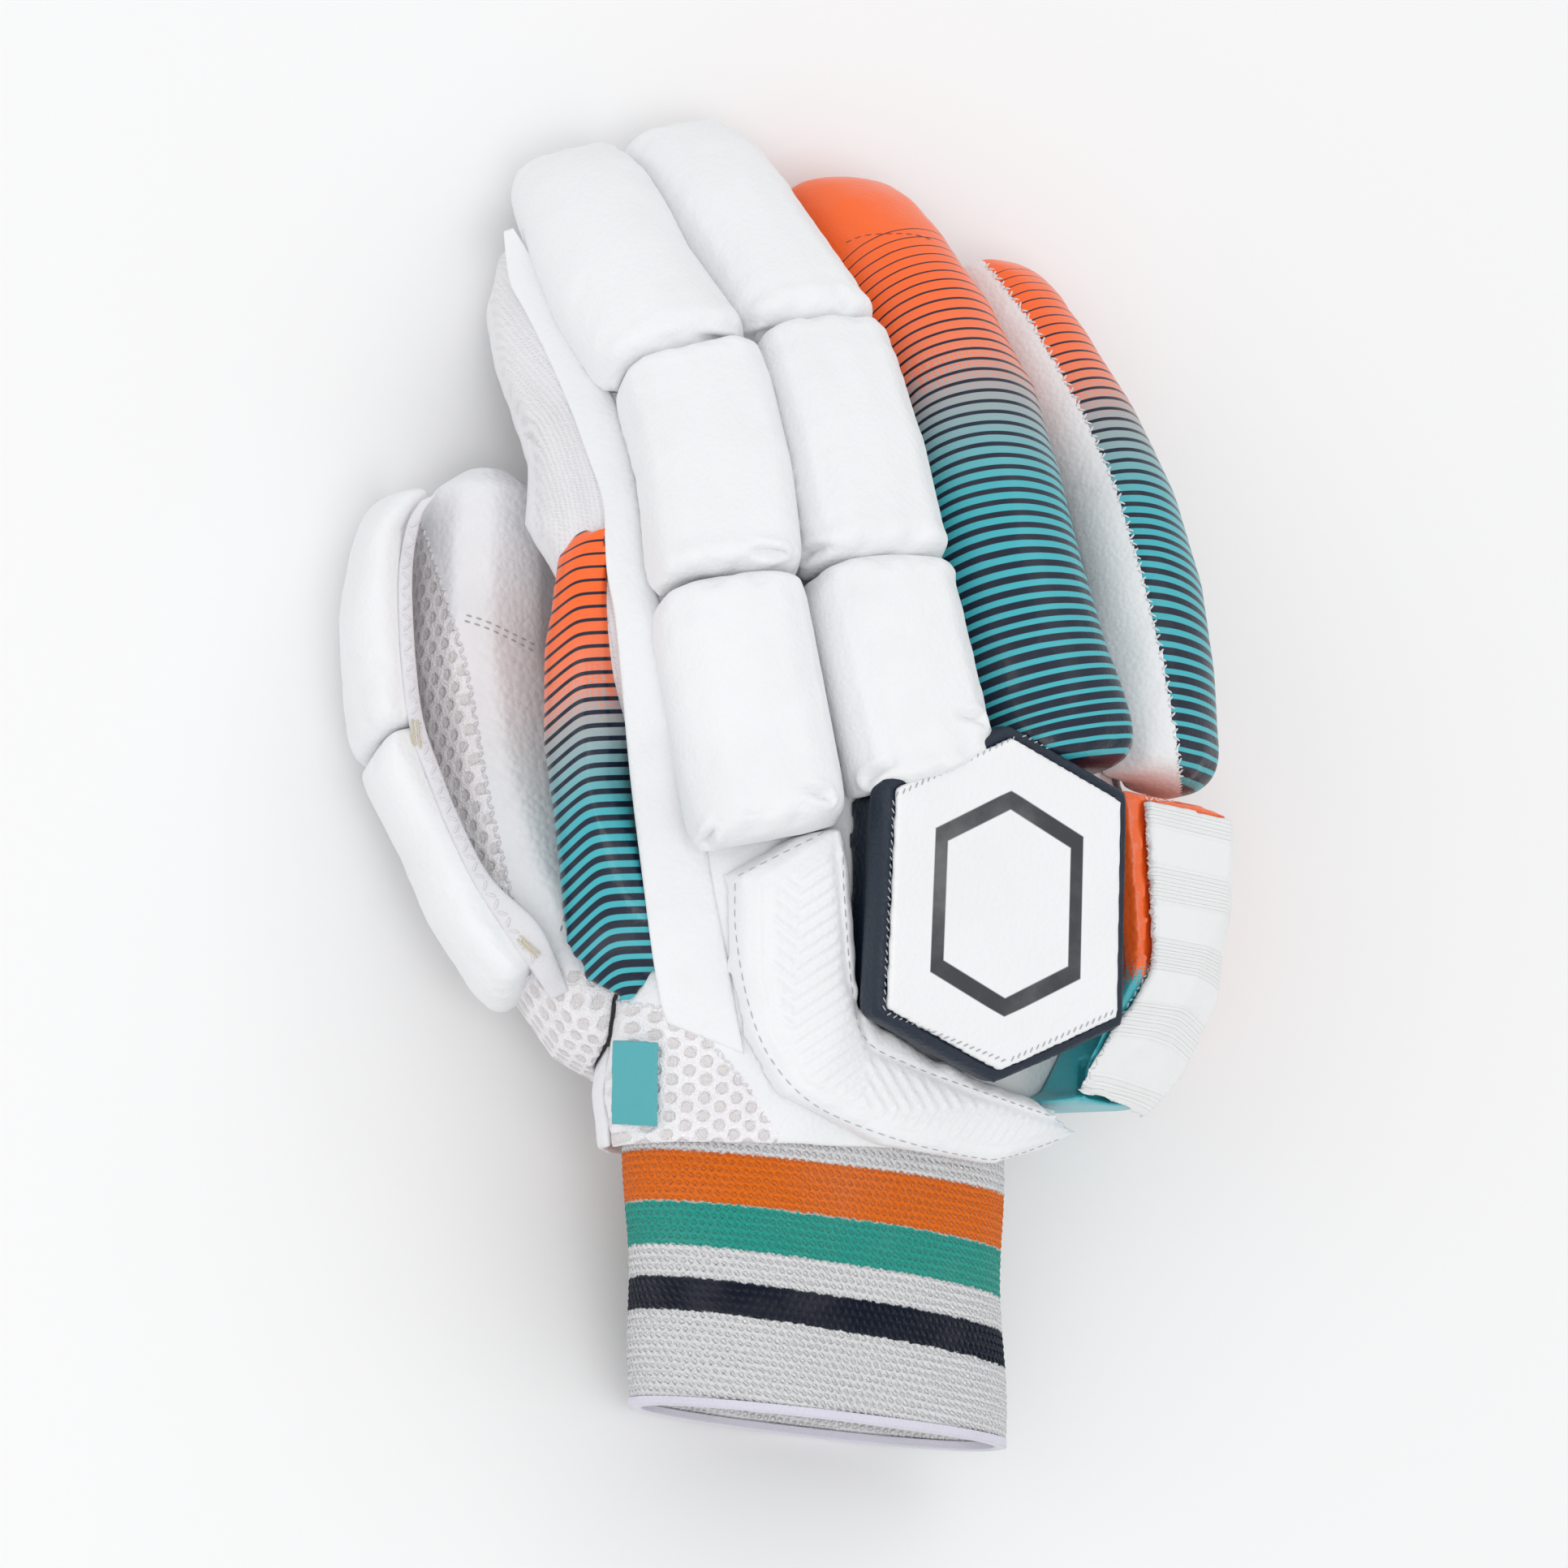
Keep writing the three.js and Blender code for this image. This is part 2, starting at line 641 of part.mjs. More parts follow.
const cuffLength = cuffFrames.length;
const cuffOuter = cuffSolid(0, 0, cuffLength - HEM_WIDTH - SEAM_GAP);
const cuffHollow = cuffSolid(-KNIT, -10, cuffLength + 10);
const cuffGrown = cuffSolid(SEAM_GAP, -3, cuffLength);
addNode("cuff", cuffOuter.subtract(cuffHollow), "knit", 0.95);
const cuffHem = cuffSolid(0.5, cuffLength - HEM_WIDTH, cuffLength, [0, 1]);
addNode("cuff_hem", cuffHem.subtract(cuffHollow), "white", 0.9);

const digitHollows = union(Object.values(stalls).map((stall) => stall.hollow));
const handShell = handOuter.subtract(handHollow.intersect(handSolid(0, -LEATHER).add(
  handSolid(-LEATHER, 5).intersect(solidOf(new THREE.BoxGeometry(300, 60, 200).translate(0, wristY - 20, 40))),
))).subtract(digitHollows).subtract(cuffGrown);

function handSlab(level) {
  const places = [-0.3, 0, 0.2, 0.4, 0.6, 0.8, 1, 1.3];
  const rings = places.map((at) => {
    const frame = handFrame(Math.min(1, Math.max(0, at)));
    const slab = [];
    for (const w of [-80, -40, 0, 40, 80]) slab.push(handPoint(frame, w, level));
    for (const w of [60, 0, -60]) slab.push(handPoint(frame, w, -48));
    const shift = (at - Math.min(1, Math.max(0, at))) * HAND_LENGTH;
    return slab.map((p) => p.add(new Vector3(0, shift, 0)));
  });
  return loft(rings);
}
addNode("palm_leather", handShell.intersect(handSlab(-SEAM_GAP / 2)), "white");
addNode("hand_back", handShell.subtract(handSlab(SEAM_GAP / 2)), "white");

// Padding over the back. Each pad is cut by the glove under it and by the pads placed before it.
const placed = [];

function cutPad(solid) {
  return placed.reduce((left, other) => left.subtract(other), solid.subtract(gloveGrown).subtract(cuffGrown));
}

function addPad(name, make, colour, roughness) {
  addNode(name, cutPad(make(0)), colour, roughness);
  placed.push(make(PAD_GAP / 2));
}

// Hexagonal block and its face, in a flat frame on the back of the hand
const badgeFrame = backFrame(BADGE_AT, -BADGE_ASIDE * HAND_WIDTH);
const badgeOutline = [
  [-0.5, 0.5 - BADGE_POINT / BADGE_LENGTH],
  [-0.5, -0.5 + BADGE_POINT / BADGE_LENGTH],
  [0, -0.5],
  [0.5, -0.5 + BADGE_POINT / BADGE_LENGTH],
  [0.5, 0.5 - BADGE_POINT / BADGE_LENGTH],
  [0, 0.5],
].map(([x, y]) => [x * BADGE_WIDTH, y * BADGE_LENGTH]);

function badge(inset, bottom, top, ease, grow) {
  const scale = 1 - (2 * inset) / BADGE_WIDTH;
  const outline = badgeOutline.map(([x, y]) => [x * scale, y * scale]);
  return blockSolid(badgeFrame, outline, bottom, top, ease, grow);
}
const badgeSeat = BADGE_THICKNESS - FACE_THICKNESS;
const badgeWell = badge(FACE_INSET, badgeSeat - SEAM_GAP, BADGE_THICKNESS + 5, 0.1, SEAM_GAP);
addNode("hex_face", badge(FACE_INSET, badgeSeat, BADGE_THICKNESS + 0.3, 0.5, 0), "white");
const badgeBody = badge(0, -8, BADGE_THICKNESS, 1.6, 0);
addNode("hex_block", cutPad(badgeBody.subtract(badgeWell)), "navy");
placed.push(badge(0, -9, BADGE_THICKNESS + 9, 0.1, PAD_GAP));

// A piece that lies on the curved back: an outline in a frame, raised and kept between two offsets of the hand
function columnOver(frame, outline) {
  const ring = (height) => outline.map(([x, y]) => place(frame, x, height).addScaledVector(frame.along, y));
  return loft([ring(-PAST_END), ring(2 * PAST_END)]);
}

function inset(outline, distance) {
  const count = outline.length;
  return outline.map((point, i) => {
    const before = outline[(i + count - 1) % count];
    const after = outline[(i + 1) % count];
    const normal = ([x0, y0], [x1, y1]) => {
      const long = Math.hypot(x1 - x0, y1 - y0);
      return [-(y1 - y0) / long, (x1 - x0) / long];
    };
    const [a, b] = [normal(before, point), normal(point, after)];
    const share = distance / Math.max(0.5, 1 + a[0] * b[0] + a[1] * b[1]);
    return [point[0] + (a[0] + b[0]) * share, point[1] + (a[1] + b[1]) * share];
  });
}

// Outer wing: bent round the hexagon on the little-finger side
const wingFrame = backFrame(WING_AT, WING_W);
const wingOutline = WING_OUTLINE.map(({ x, y }) => [x * WING_LENGTH, y * WING_LENGTH]);
const wingTop = handSolid(WING_THICKNESS, PAST_END);
const wingRound = handSolid(WING_THICKNESS - 1.5, PAST_END);
const wingSeat = handSolid(WING_THICKNESS - FACE_THICKNESS, PAST_END);
const wingWell = handSolid(WING_THICKNESS - FACE_THICKNESS - SEAM_GAP, PAST_END);
const wingBody = columnOver(wingFrame, wingOutline)
  .intersect(wingRound)
  .add(columnOver(wingFrame, inset(wingOutline, 1.5)).intersect(wingTop));
const wingFace = columnOver(wingFrame, inset(wingOutline, FACE_INSET))
  .intersect(handSolid(WING_THICKNESS + 0.3, PAST_END))
  .subtract(wingSeat);
const wingHole = columnOver(wingFrame, inset(wingOutline, FACE_INSET - SEAM_GAP)).subtract(wingWell);
addNode("wing_block", cutPad(wingBody.subtract(wingHole)), "orange");
addNode("wing_face", cutPad(wingFace), "white");
placed.push(columnOver(wingFrame, inset(wingOutline, -PAD_GAP)));

// Wrist panel: an L of padded leather from the knuckle pads down and across the wrist
const panelFrame = backFrame(PANEL_AT, 0);
const panelOutline = PANEL_OUTLINE.map(({ x, y }) => [x * PANEL_WIDTH, y * PANEL_WIDTH]);
const panelBody = columnOver(panelFrame, panelOutline)
  .intersect(handSolid(PANEL_THICKNESS - 1.8, PAST_END))
  .add(columnOver(panelFrame, inset(panelOutline, 1.8)).intersect(handSolid(PANEL_THICKNESS, PAST_END)))
  .subtract(handSolid(SEAM_GAP, PAST_END + 1));

// Finger pads and rolls
const PADS = [
  { name: "index_proximal_pad", digit: "index", from: -0.01, to: 0.298, wide: [1.04, 1.02], colour: "white" },
  { name: "index_middle_pad", digit: "index", from: 0.298, to: 0.605, wide: [1.02, 1.02], colour: "white" },
  { name: "index_distal_pad", digit: "index", from: 0.605, to: 1.0, wide: [1.06, 0.9], colour: "white", tip: true },
  { name: "middle_proximal_pad", digit: "middle", from: -0.05, to: 0.245, wide: [1.04, 1.04], colour: "white" },
  { name: "middle_middle_pad", digit: "middle", from: 0.245, to: 0.578, wide: [1.04, 1.02], colour: "white" },
  { name: "middle_distal_pad", digit: "middle", from: 0.578, to: 1.0, wide: [1.02, 0.9], colour: "white", tip: true },
  { name: "ring_roll", digit: "ring", from: -0.06, to: 1.0, wide: [0.98, 0.9], colour: "orange", tip: true },
  { name: "little_roll", digit: "little", from: 0.0, to: 1.0, wide: [0.92, 0.8], colour: "teal", tip: true },
];

function fingerPad({ digit, from, to, wide, tip }) {
  const spine = spines[digit];
  const height = stalls[digit].height;
  return {
    from: from * spine.length + PAD_GAP / 2,
    to: to * spine.length - PAD_GAP / 2,
    wide: wide.map((share) => share * PAD_WIDTH),
    shift: [from, to].map((share) => lerp(...FINGERS[digit].shift, share) * FINGER_LENGTH),
    seat: height / 2 - PAD_SINK,
    top: height / 2 + PAD_THICKNESS,
    rounds: [PAD_ROUND, tip ? TIP_ROUND : PAD_ROUND],
  };
}

for (const row of PADS) {
  const spine = spines[row.digit];
  const pad = fingerPad(row);
  if (row.name !== "little_roll") {
    addPad(row.name, (grow) => padSolid(spine, pad, grow), row.colour);
    continue;
  }
  // The little finger's roll has a white side wall towards the ring finger
  const body = cutPad(padSolid(spine, pad));
  const edge = -pad.wide[0] * 0.28;
  addNode("little_roll", body.subtract(sideOf(spine, edge + SEAM_GAP / 2)), row.colour);
  addNode("little_side_strip", body.intersect(sideOf(spine, edge - SEAM_GAP / 2)), "white");
  placed.push(padSolid(spine, pad, PAD_GAP / 2));
}
addNode("wrist_panel", cutPad(panelBody), "white");

// Label tab at the wrist, on the thumb side
const labelFrame = skinFrame(LABEL_AT, LABEL_ANGLE);
const labelOutline = [
  [-0.5, -0.5],
  [0.5, -0.5],
  [0.5, 0.5],
  [-0.5, 0.5],
].map(([x, y]) => [x * LABEL_WIDTH, y * LABEL_LENGTH]);
const labelBody = blockSolid(labelFrame, labelOutline, SEAM_GAP, SEAM_GAP + LABEL_THICKNESS, 0.2);
addNode("label_tab", cutPad(labelBody), "teal");

// Side roll on the thumb side of the hand
const rollPoints = SIDE_ROLL_ROUTE.map(({ at, w, h }) => {
  const frame = handFrame(Math.min(1, at));
  const point = handPoint(frame, w * HAND_WIDTH * 0.5, h * HAND_THICKNESS * 0.5);
  point.y += Math.max(0, at - 1) * HAND_LENGTH;
  return point;
});
const rollSpine = spineFrom(rollPoints, () => rad(SIDE_ROLL_TILT), 14);
const rollPad = {
  from: 0,
  to: rollSpine.length,
  wide: [SIDE_ROLL_WIDTH, SIDE_ROLL_WIDTH * 0.85],
  shift: [0, 0],
  seat: -SIDE_ROLL_THICKNESS * 0.8,
  top: SIDE_ROLL_THICKNESS * 0.5,
  rounds: [PAD_ROUND, PAD_ROUND * 1.6],
};
addPad("side_roll", (grow) => padSolid(rollSpine, rollPad, grow), "teal");

// Thumb pads
const thumbSeat = stalls.thumb.height / 2 - THUMB_PAD_SINK;
const thumbTop = stalls.thumb.height / 2 + THUMB_PAD_THICKNESS;
const thumbPad = { shift: [0, 0], seat: thumbSeat, top: thumbTop };
const thumbSplit = THUMB_SPLIT * spines.thumb.length;
const thumbPads = [
  {
    name: "thumb_proximal_pad",
    from: thumbSplit * 0.45,
    to: thumbSplit - PAD_GAP / 2,
    wide: [THUMB_PAD_WIDTH * 0.85, THUMB_PAD_WIDTH],
    rounds: [PAD_ROUND * 1.3, PAD_ROUND * 0.6],
  },
  {
    name: "thumb_distal_pad",
    from: thumbSplit + PAD_GAP / 2,
    to: spines.thumb.length - THUMB_TIP_BARE,
    wide: [THUMB_PAD_WIDTH, THUMB_PAD_WIDTH * 0.8],
    rounds: [PAD_ROUND * 0.6, TIP_ROUND * 0.8],
  },
];
for (const { name, ...pad } of thumbPads) {
  addPad(name, (grow) => padSolid(spines.thumb, { ...thumbPad, ...pad }, grow), "white");
}

// The origin is the bottom centre of the whole glove
const bounds = new THREE.Box3().setFromObject(glove);
const middle = bounds.getCenter(new Vector3());
glove.position.set(-middle.x, -middle.y, -bounds.min.z);

export default glove;
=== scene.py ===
"""A right-hand cricket batting glove lying palm down: white leather padding, printed rolls, a hexagonal
block with a stitched face, an embossed wrist panel, a knitted thumb gusset and a striped towelling cuff."""

import math

import bpy
import numpy as np
from mathutils import Matrix, Vector
from mathutils.bvhtree import BVHTree


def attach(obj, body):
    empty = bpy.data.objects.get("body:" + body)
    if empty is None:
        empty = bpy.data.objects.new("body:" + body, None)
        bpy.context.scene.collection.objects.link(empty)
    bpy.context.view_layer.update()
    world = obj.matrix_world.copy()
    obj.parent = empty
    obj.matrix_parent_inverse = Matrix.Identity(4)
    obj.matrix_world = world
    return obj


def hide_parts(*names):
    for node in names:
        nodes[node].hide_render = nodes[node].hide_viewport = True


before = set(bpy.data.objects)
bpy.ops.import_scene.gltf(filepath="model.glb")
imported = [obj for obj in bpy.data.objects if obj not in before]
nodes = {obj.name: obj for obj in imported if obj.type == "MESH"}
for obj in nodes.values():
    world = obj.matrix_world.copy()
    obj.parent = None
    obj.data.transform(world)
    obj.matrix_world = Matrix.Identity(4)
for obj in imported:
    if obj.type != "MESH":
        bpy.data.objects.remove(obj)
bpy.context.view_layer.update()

MM = 0.001

# The camera and how a photo pixel lies in front of it, in millimetres

VIEW_CENTRE = np.array((-22.555, -10.329, 78.897))
LEAN = math.radians(22)  # of the camera towards the thumb
TILT = math.radians(8)  # and towards the wrist
VIEW_RIGHT = np.array((math.cos(LEAN), 0.0, math.sin(LEAN)))
OVERHEAD = np.array((-math.sin(LEAN), 0.0, math.cos(LEAN)))
LEVEL = np.array((0.0, 1.0, 0.0))
VIEW_BACK = math.cos(TILT) * OVERHEAD - math.sin(TILT) * LEVEL
VIEW_UP = math.sin(TILT) * OVERHEAD + math.cos(TILT) * LEVEL
VIEW_DISTANCE = 1600.0
PIXEL = 0.162
HALF_PHOTO = 966.0
SENSOR = 36.0
EYE = VIEW_CENTRE + VIEW_DISTANCE * VIEW_BACK

# The hand that the glove is cut for, in millimetres and degrees

HAND_LENGTH = 102
HAND_WIDTH = 116
HAND_THICKNESS = 42
HAND_SQUARENESS = 2.7
ARCH_RADIUS = 106
KNUCKLE_HEIGHT = 52.7
WRIST_HEIGHT = 39
HAND_ROLL = 13
KNUCKLE_AT = 0.735
FINGER_LENGTH = 146
FINGER_PITCH = 27.8
FINGER_HEIGHT = 22
THUMB_LENGTH = 112
THUMB_ROLL = -80
SIDE_ROLL_TILT = -62
PANEL_WIDTH = 79
CUFF_LENGTH = 54  # below the wrist seam
CUFF_TUCK = 9  # inside the hand
CUFF_ASIDE = 2.6  # towards the little finger
CUFF_SLOPE = 18.8
CUFF_TURN = 9
CUFF_SKEW = 5
CUFF_WIDTH = 82.5
CUFF_HEIGHT = 40.0
KNIT = 2.4
HEXAGON_AT, HEXAGON_ASIDE = 0.48, 0.93  # a place along the hand and a distance round its arch
WING_AT, WING_ASIDE = 0.5, 46
PANEL_AT = 0.3
LABEL_AT, LABEL_ANGLE = 0.12, 154
# The middle of the knuckle line on the table, from the middle of the glove
KNUCKLES = np.array((3.35, -6.15, 0.0))

# Sections of the hand from the wrist seam to the crotches: at, across, rise, wide, thick, bend and roll
HAND_SECTIONS = np.array([
    (0.0, -0.1, 0.0, 0.745, 1.13, 0.2, 0.3),
    (0.12, 0.0, 0.1, 0.89, 1.17, 0.35, 0.5),
    (0.3, 0.13, 0.3, 0.99, 1.18, 0.55, 0.75),
    (0.5, 0.22, 0.6, 1.02, 1.14, 0.8, 0.95),
    (0.7, 0.26, 0.95, 0.99, 1.03, 1.0, 1.0),
    (0.86, 0.25, 1.0, 0.96, 0.96, 1.0, 1.0),
    (1.0, 0.22, 0.8, 0.94, 0.9, 1.0, 1.0),
])
# Finger spines: the place round the arch, how far back they start, then steps ahead, aside and down
FINGERS = {
    "index": (
        -1.5, 0.104,
        (0.308, 0.611, 0.78, 0.95), (0.06, 0.075, 0.135, 0.168), (0.041, 0.175, 0.295, 0.445),
    ),
    "middle": (
        -0.5, 0.0,
        (0.24, 0.551, 0.686, 0.925), (0.044, 0.068, 0.1, 0.172), (0.037, 0.172, 0.272, 0.452),
    ),
    "ring": (
        0.5, -0.037,
        (0.182, 0.342, 0.532, 0.835), (0.04, 0.052, 0.062, 0.155), (0.032, 0.088, 0.188, 0.402),
    ),
    "little": (
        1.5, -0.012,
        (0.178, 0.309, 0.464, 0.757), (-0.004, -0.016, -0.01, 0.09), (0.019, 0.062, 0.132, 0.295),
    ),
}
# The thumb's spine as shares of its length, and the side roll's route as at, across and out
THUMB_POINTS = [
    (-0.22, 0.17, 0.34), (-0.484, 0.343, 0.262), (-0.547, 0.54, 0.21), (-0.59, 0.754, 0.165),
    (-0.602, 0.968, 0.133), (-0.578, 1.35, 0.122),
]
SIDE_ROLL_ROUTE = [
    (0.25, -0.82, 0.0), (0.4, -0.99, 0.08), (0.66, -1.18, 0.26), (0.94, -1.22, 0.36), (1.26, -1.12, 0.2),
]

# Small helpers


def deselect():
    bpy.ops.object.select_all(action="DESELECT")


def take(piece):
    """Selects one object and makes it the active one"""
    deselect()
    piece.select_set(True)
    bpy.context.view_layer.objects.active = piece


def apply(piece, modifier):
    take(piece)
    bpy.ops.object.modifier_apply(modifier=modifier.name)


def spots(piece):
    """The points of a mesh, in millimetres"""
    flat = np.empty(len(piece.data.vertices) * 3, np.float64)
    piece.data.vertices.foreach_get("co", flat)
    return flat.reshape(-1, 3) / MM


def move(piece, points):
    piece.data.vertices.foreach_set("co", (points * MM).astype(np.float32).ravel())
    piece.data.update()


def normals(piece):
    flat = np.empty(len(piece.data.vertices) * 3, np.float32)
    piece.data.vertex_normals.foreach_get("vector", flat)
    return flat.reshape(-1, 3).astype(np.float64)


def unit(vectors):
    return vectors / np.maximum(np.linalg.norm(vectors, axis=-1, keepdims=True), 1e-9)


def ramp(value, low, high):
    """0 below low, 1 above high and smooth between"""
    t = np.clip((value - low) / (high - low), 0, 1)
    return t * t * (3 - 2 * t)


def run_of(points):
    """How far along a path each of its points lies"""
    return np.concatenate([[0], np.cumsum(np.linalg.norm(np.diff(points, axis=0), axis=1))])


def column_mix(wanted, places, table):
    """Each column of a table of values, read between its places"""
    return np.stack([np.interp(wanted, places, column) for column in np.transpose(table)], -1)


def resampled(points, count):
    """A smooth curve through points, at equal steps"""
    points = np.asarray(points, float)
    ends = np.vstack([2 * points[0] - points[1], points, 2 * points[-1] - points[-2]])
    fine = []
    for i in range(1, len(ends) - 2):
        for t in np.linspace(0, 1, 12, endpoint=False):
            a, b, c, d = ends[i - 1 : i + 3]
            square, cube = 2 * a - 5 * b + 4 * c - d, 3 * b - a - 3 * c + d
            fine.append(0.5 * (2 * b + (c - a) * t + square * t**2 + cube * t**3))
    fine = np.array(fine + [points[-1]])
    lengths = run_of(fine)
    wanted = np.linspace(0, lengths[-1], count)
    return column_mix(wanted, lengths, fine)


# The form of the hand


def between(first, last, leave, arrive, share):
    """A smooth step from first to last with given slopes at both"""
    ahead = 3 * share**2 - 2 * share**3
    return (
        first * (1 - ahead) + last * ahead
        + leave * (share**3 - 2 * share**2 + share) + arrive * (share**3 - share**2)
    )


def section(at, column):
    """A column of HAND_SECTIONS at a place along the hand"""
    places, values = HAND_SECTIONS[:, 0], HAND_SECTIONS[:, column]
    slopes = [
        (values[min(i + 1, 6)] - values[max(i - 1, 0)]) / (places[min(i + 1, 6)] - places[max(i - 1, 0)])
        for i in range(7)
    ]
    i = min(int(np.searchsorted(places[1:-1], at)), 5)
    span = places[i + 1] - places[i]
    share = min(1, max(0, (at - places[i]) / span))
    return between(values[i], values[i + 1], span * slopes[i], span * slopes[i + 1], share)


class Section:
    """A cut across the hand: its middle, directions, arch and half sizes"""

    def __init__(self, at):
        across, rise, wide, thick, bend, roll = (section(at, column) for column in range(1, 7))
        self.roll = math.radians(HAND_ROLL * roll)
        height = WRIST_HEIGHT + rise * (KNUCKLE_HEIGHT - WRIST_HEIGHT)
        self.middle = KNUCKLES + (across * HAND_WIDTH / 2, (at - KNUCKLE_AT) * HAND_LENGTH, height)
        self.side = np.array((math.cos(self.roll), 0, -math.sin(self.roll)))
        self.up = np.array((math.sin(self.roll), 0, math.cos(self.roll)))
        self.half_wide = wide * HAND_WIDTH / 2
        self.half_thick = thick * HAND_THICKNESS / 2
        self.radius = ARCH_RADIUS / bend

    def point(self, w, h):
        """A point w round the arch and h out from the middle layer"""
        turn = w / self.radius
        reach = self.radius + h
        out = reach * math.cos(turn) - self.radius
        return self.middle + reach * math.sin(turn) * self.side + out * self.up


def on_curve(points, t):
    """A point of the smooth curve through points, with t from 0 to 1"""
    ends = np.vstack([2 * points[0] - points[1], points, 2 * points[-1] - points[-2]])
    t = min(max(t, 0), 1) * (len(points) - 1)
    i = min(int(t), len(points) - 2)
    a, b, c, d = ends[i : i + 4]
    near, span, far = (math.sqrt(np.linalg.norm(q - p)) for p, q in ((a, b), (b, c), (c, d)))
    leave = (b - a) / near - (c - a) / (near + span) + (c - b) / span
    arrive = (c - b) / span - (d - b) / (span + far) + (d - c) / far
    return between(b, c, leave * span, arrive * span, t - i)


def spine(points, roll):
    """Nine points at equal steps along a curve, and the outward directions at start, middle and end"""
    points = np.array(points, float)
    shares = np.linspace(0, 1, 201)
    fine = np.array([on_curve(points, t) for t in shares])
    run = run_of(fine)
    steps = np.interp(np.linspace(0, run[-1], 9), run, shares)
    ups = []
    for t in steps[::4]:
        along = unit(on_curve(points, t + 1e-4) - on_curve(points, t - 1e-4))
        level = unit(np.array((0, 0, 1)) - along[2] * along)
        ups.append(math.cos(roll) * level + math.sin(roll) * np.cross(along, level))
    return [on_curve(points, t) for t in steps], ups


def finger_spine(slot, back, ahead, aside, down):
    """A finger's middle line, from under its knuckle to the end of its padding"""
    knuckle = Section(KNUCKLE_AT)
    w = slot * FINGER_PITCH
    start = knuckle.point(w, (HAND_THICKNESS - FINGER_HEIGHT) / 2) - (0, back * FINGER_LENGTH, 0)
    steps = np.array([(-x, y, -z) for x, y, z in zip(aside, ahead, down)]) * FINGER_LENGTH
    return spine([start, *(start + steps)], knuckle.roll + w / knuckle.radius)


def thumb_spine():
    """The thumb's middle line, from inside the hand to past its tip"""
    wrist = KNUCKLES - (0, KNUCKLE_AT * HAND_LENGTH, 0)
    return spine([wrist + np.array(point) * THUMB_LENGTH for point in THUMB_POINTS], math.radians(THUMB_ROLL))


def side_roll_spine():
    """The middle line of the roll beside the index finger"""
    points = []
    for at, w, h in SIDE_ROLL_ROUTE:
        near = Section(min(1, at)).point(w * HAND_WIDTH / 2, h * HAND_THICKNESS / 2)
        points.append(near + (0, max(0, at - 1) * HAND_LENGTH, 0))
    return spine(points, math.radians(SIDE_ROLL_TILT))


def back_frame(at, w):
    """A flat frame on the back of the hand: its origin, then across, along and outwards"""
    here, ahead = Section(at), Section(min(1, at + 0.05))
    origin = here.point(w, here.half_thick)
    along = unit((ahead.point(w, ahead.half_thick) - origin) * (0, 1, 1))
    turn = here.roll + w / here.radius
    across = unit(np.cross(along, (math.sin(turn), 0, math.cos(turn))))
    return origin, across, along, unit(np.cross(across, along))


def skin_frame(at, angle):
    """A flat frame on the skin of the hand, at an angle in degrees from the little-finger side"""
    def skin(place, turn):
        here = Section(place)
        c, s = math.cos(math.radians(turn)), math.sin(math.radians(turn))
        w = here.half_wide * math.copysign(abs(c) ** (2 / HAND_SQUARENESS), c)
        return here.point(w, here.half_thick * math.copysign(abs(s) ** (2 / HAND_SQUARENESS), s))

    along = unit(skin(at + 0.03, angle) - skin(at - 0.03, angle))
    out = unit(np.cross(skin(at, angle - 3) - skin(at, angle + 3), along))
    return skin(at, angle), np.cross(along, out), along, out


class Lane:
    """A digit's middle line with its directions along, across and up"""

    def __init__(self, points, ups):
        self.middle = resampled(points, 90)
        self.step = np.linalg.norm(self.middle[1] - self.middle[0])
        self.along = unit(np.gradient(self.middle, axis=0))
        up = column_mix(np.linspace(0, 1, 90), (0, 0.5, 1), ups)
        self.up = unit(up - self.along * (up * self.along).sum(1, keepdims=True))
        self.across = np.cross(self.along, self.up)

    def lay(self, points):
        """Length along, distance across and height above the middle line"""
        gap = points[:, None, :] - self.middle[None, ::3, :]
        near = np.argmin((gap**2).sum(2), axis=1) * 3
        for _ in range(2):
            ahead = ((points - self.middle[near]) * self.along[near]).sum(1)
            near = np.clip(near + np.round(ahead / self.step * 0.8).astype(int), 0, 89)
        low = np.clip(np.where(self.ahead_of(points, near) > 0, near, near - 1), 0, 88)
        first = self.ahead_of(points, low)
        second = self.ahead_of(points, low + 1)
        share = first / np.maximum(first - second, 1e-6)
        inside = np.clip(share, 0, 1)[:, None]
        along = (low + share) * self.step
        tables = (self.middle, self.across, self.up)
        mix = [rows[low] * (1 - inside) + rows[low + 1] * inside for rows in tables]
        rest = points - mix[0]
        return np.stack([along, (rest * mix[1]).sum(1), (rest * mix[2]).sum(1)], 1)

    def ahead_of(self, points, stations):
        return ((points - self.middle[stations]) * self.along[stations]).sum(1)


lanes = {name: Lane(*finger_spine(*rows)) for name, rows in FINGERS.items()}
lanes["thumb"] = Lane(*thumb_spine())
lanes["side"] = Lane(*side_roll_spine())


class Flat:
    """A flat frame on a block"""

    def __init__(self, origin, across, along, out):
        self.origin = np.array(origin, float)
        self.axes = np.array([across, along, out], float)

    def lay(self, points):
        return (points - self.origin) @ self.axes.T


flats = {
    "hexagon": Flat(*back_frame(HEXAGON_AT, HEXAGON_ASIDE)),
    "wing": Flat(*back_frame(WING_AT, WING_ASIDE)),
    "panel": Flat(*back_frame(PANEL_AT, 0)),
    "label": Flat(*skin_frame(LABEL_AT, LABEL_ANGLE)),
}

# Materials


def wire(tree, kind, inputs=None, **settings):
    """Adds a shader node with its settings, and links or sets its inputs"""
    made = tree.nodes.new(kind)
    for key, value in settings.items():
        setattr(made, key, value)
    for key, value in (inputs or {}).items():
        socket = made.inputs[key]
        if isinstance(value, bpy.types.NodeSocket):
            tree.links.new(value, socket)
        else:
            socket.default_value = value
    return made


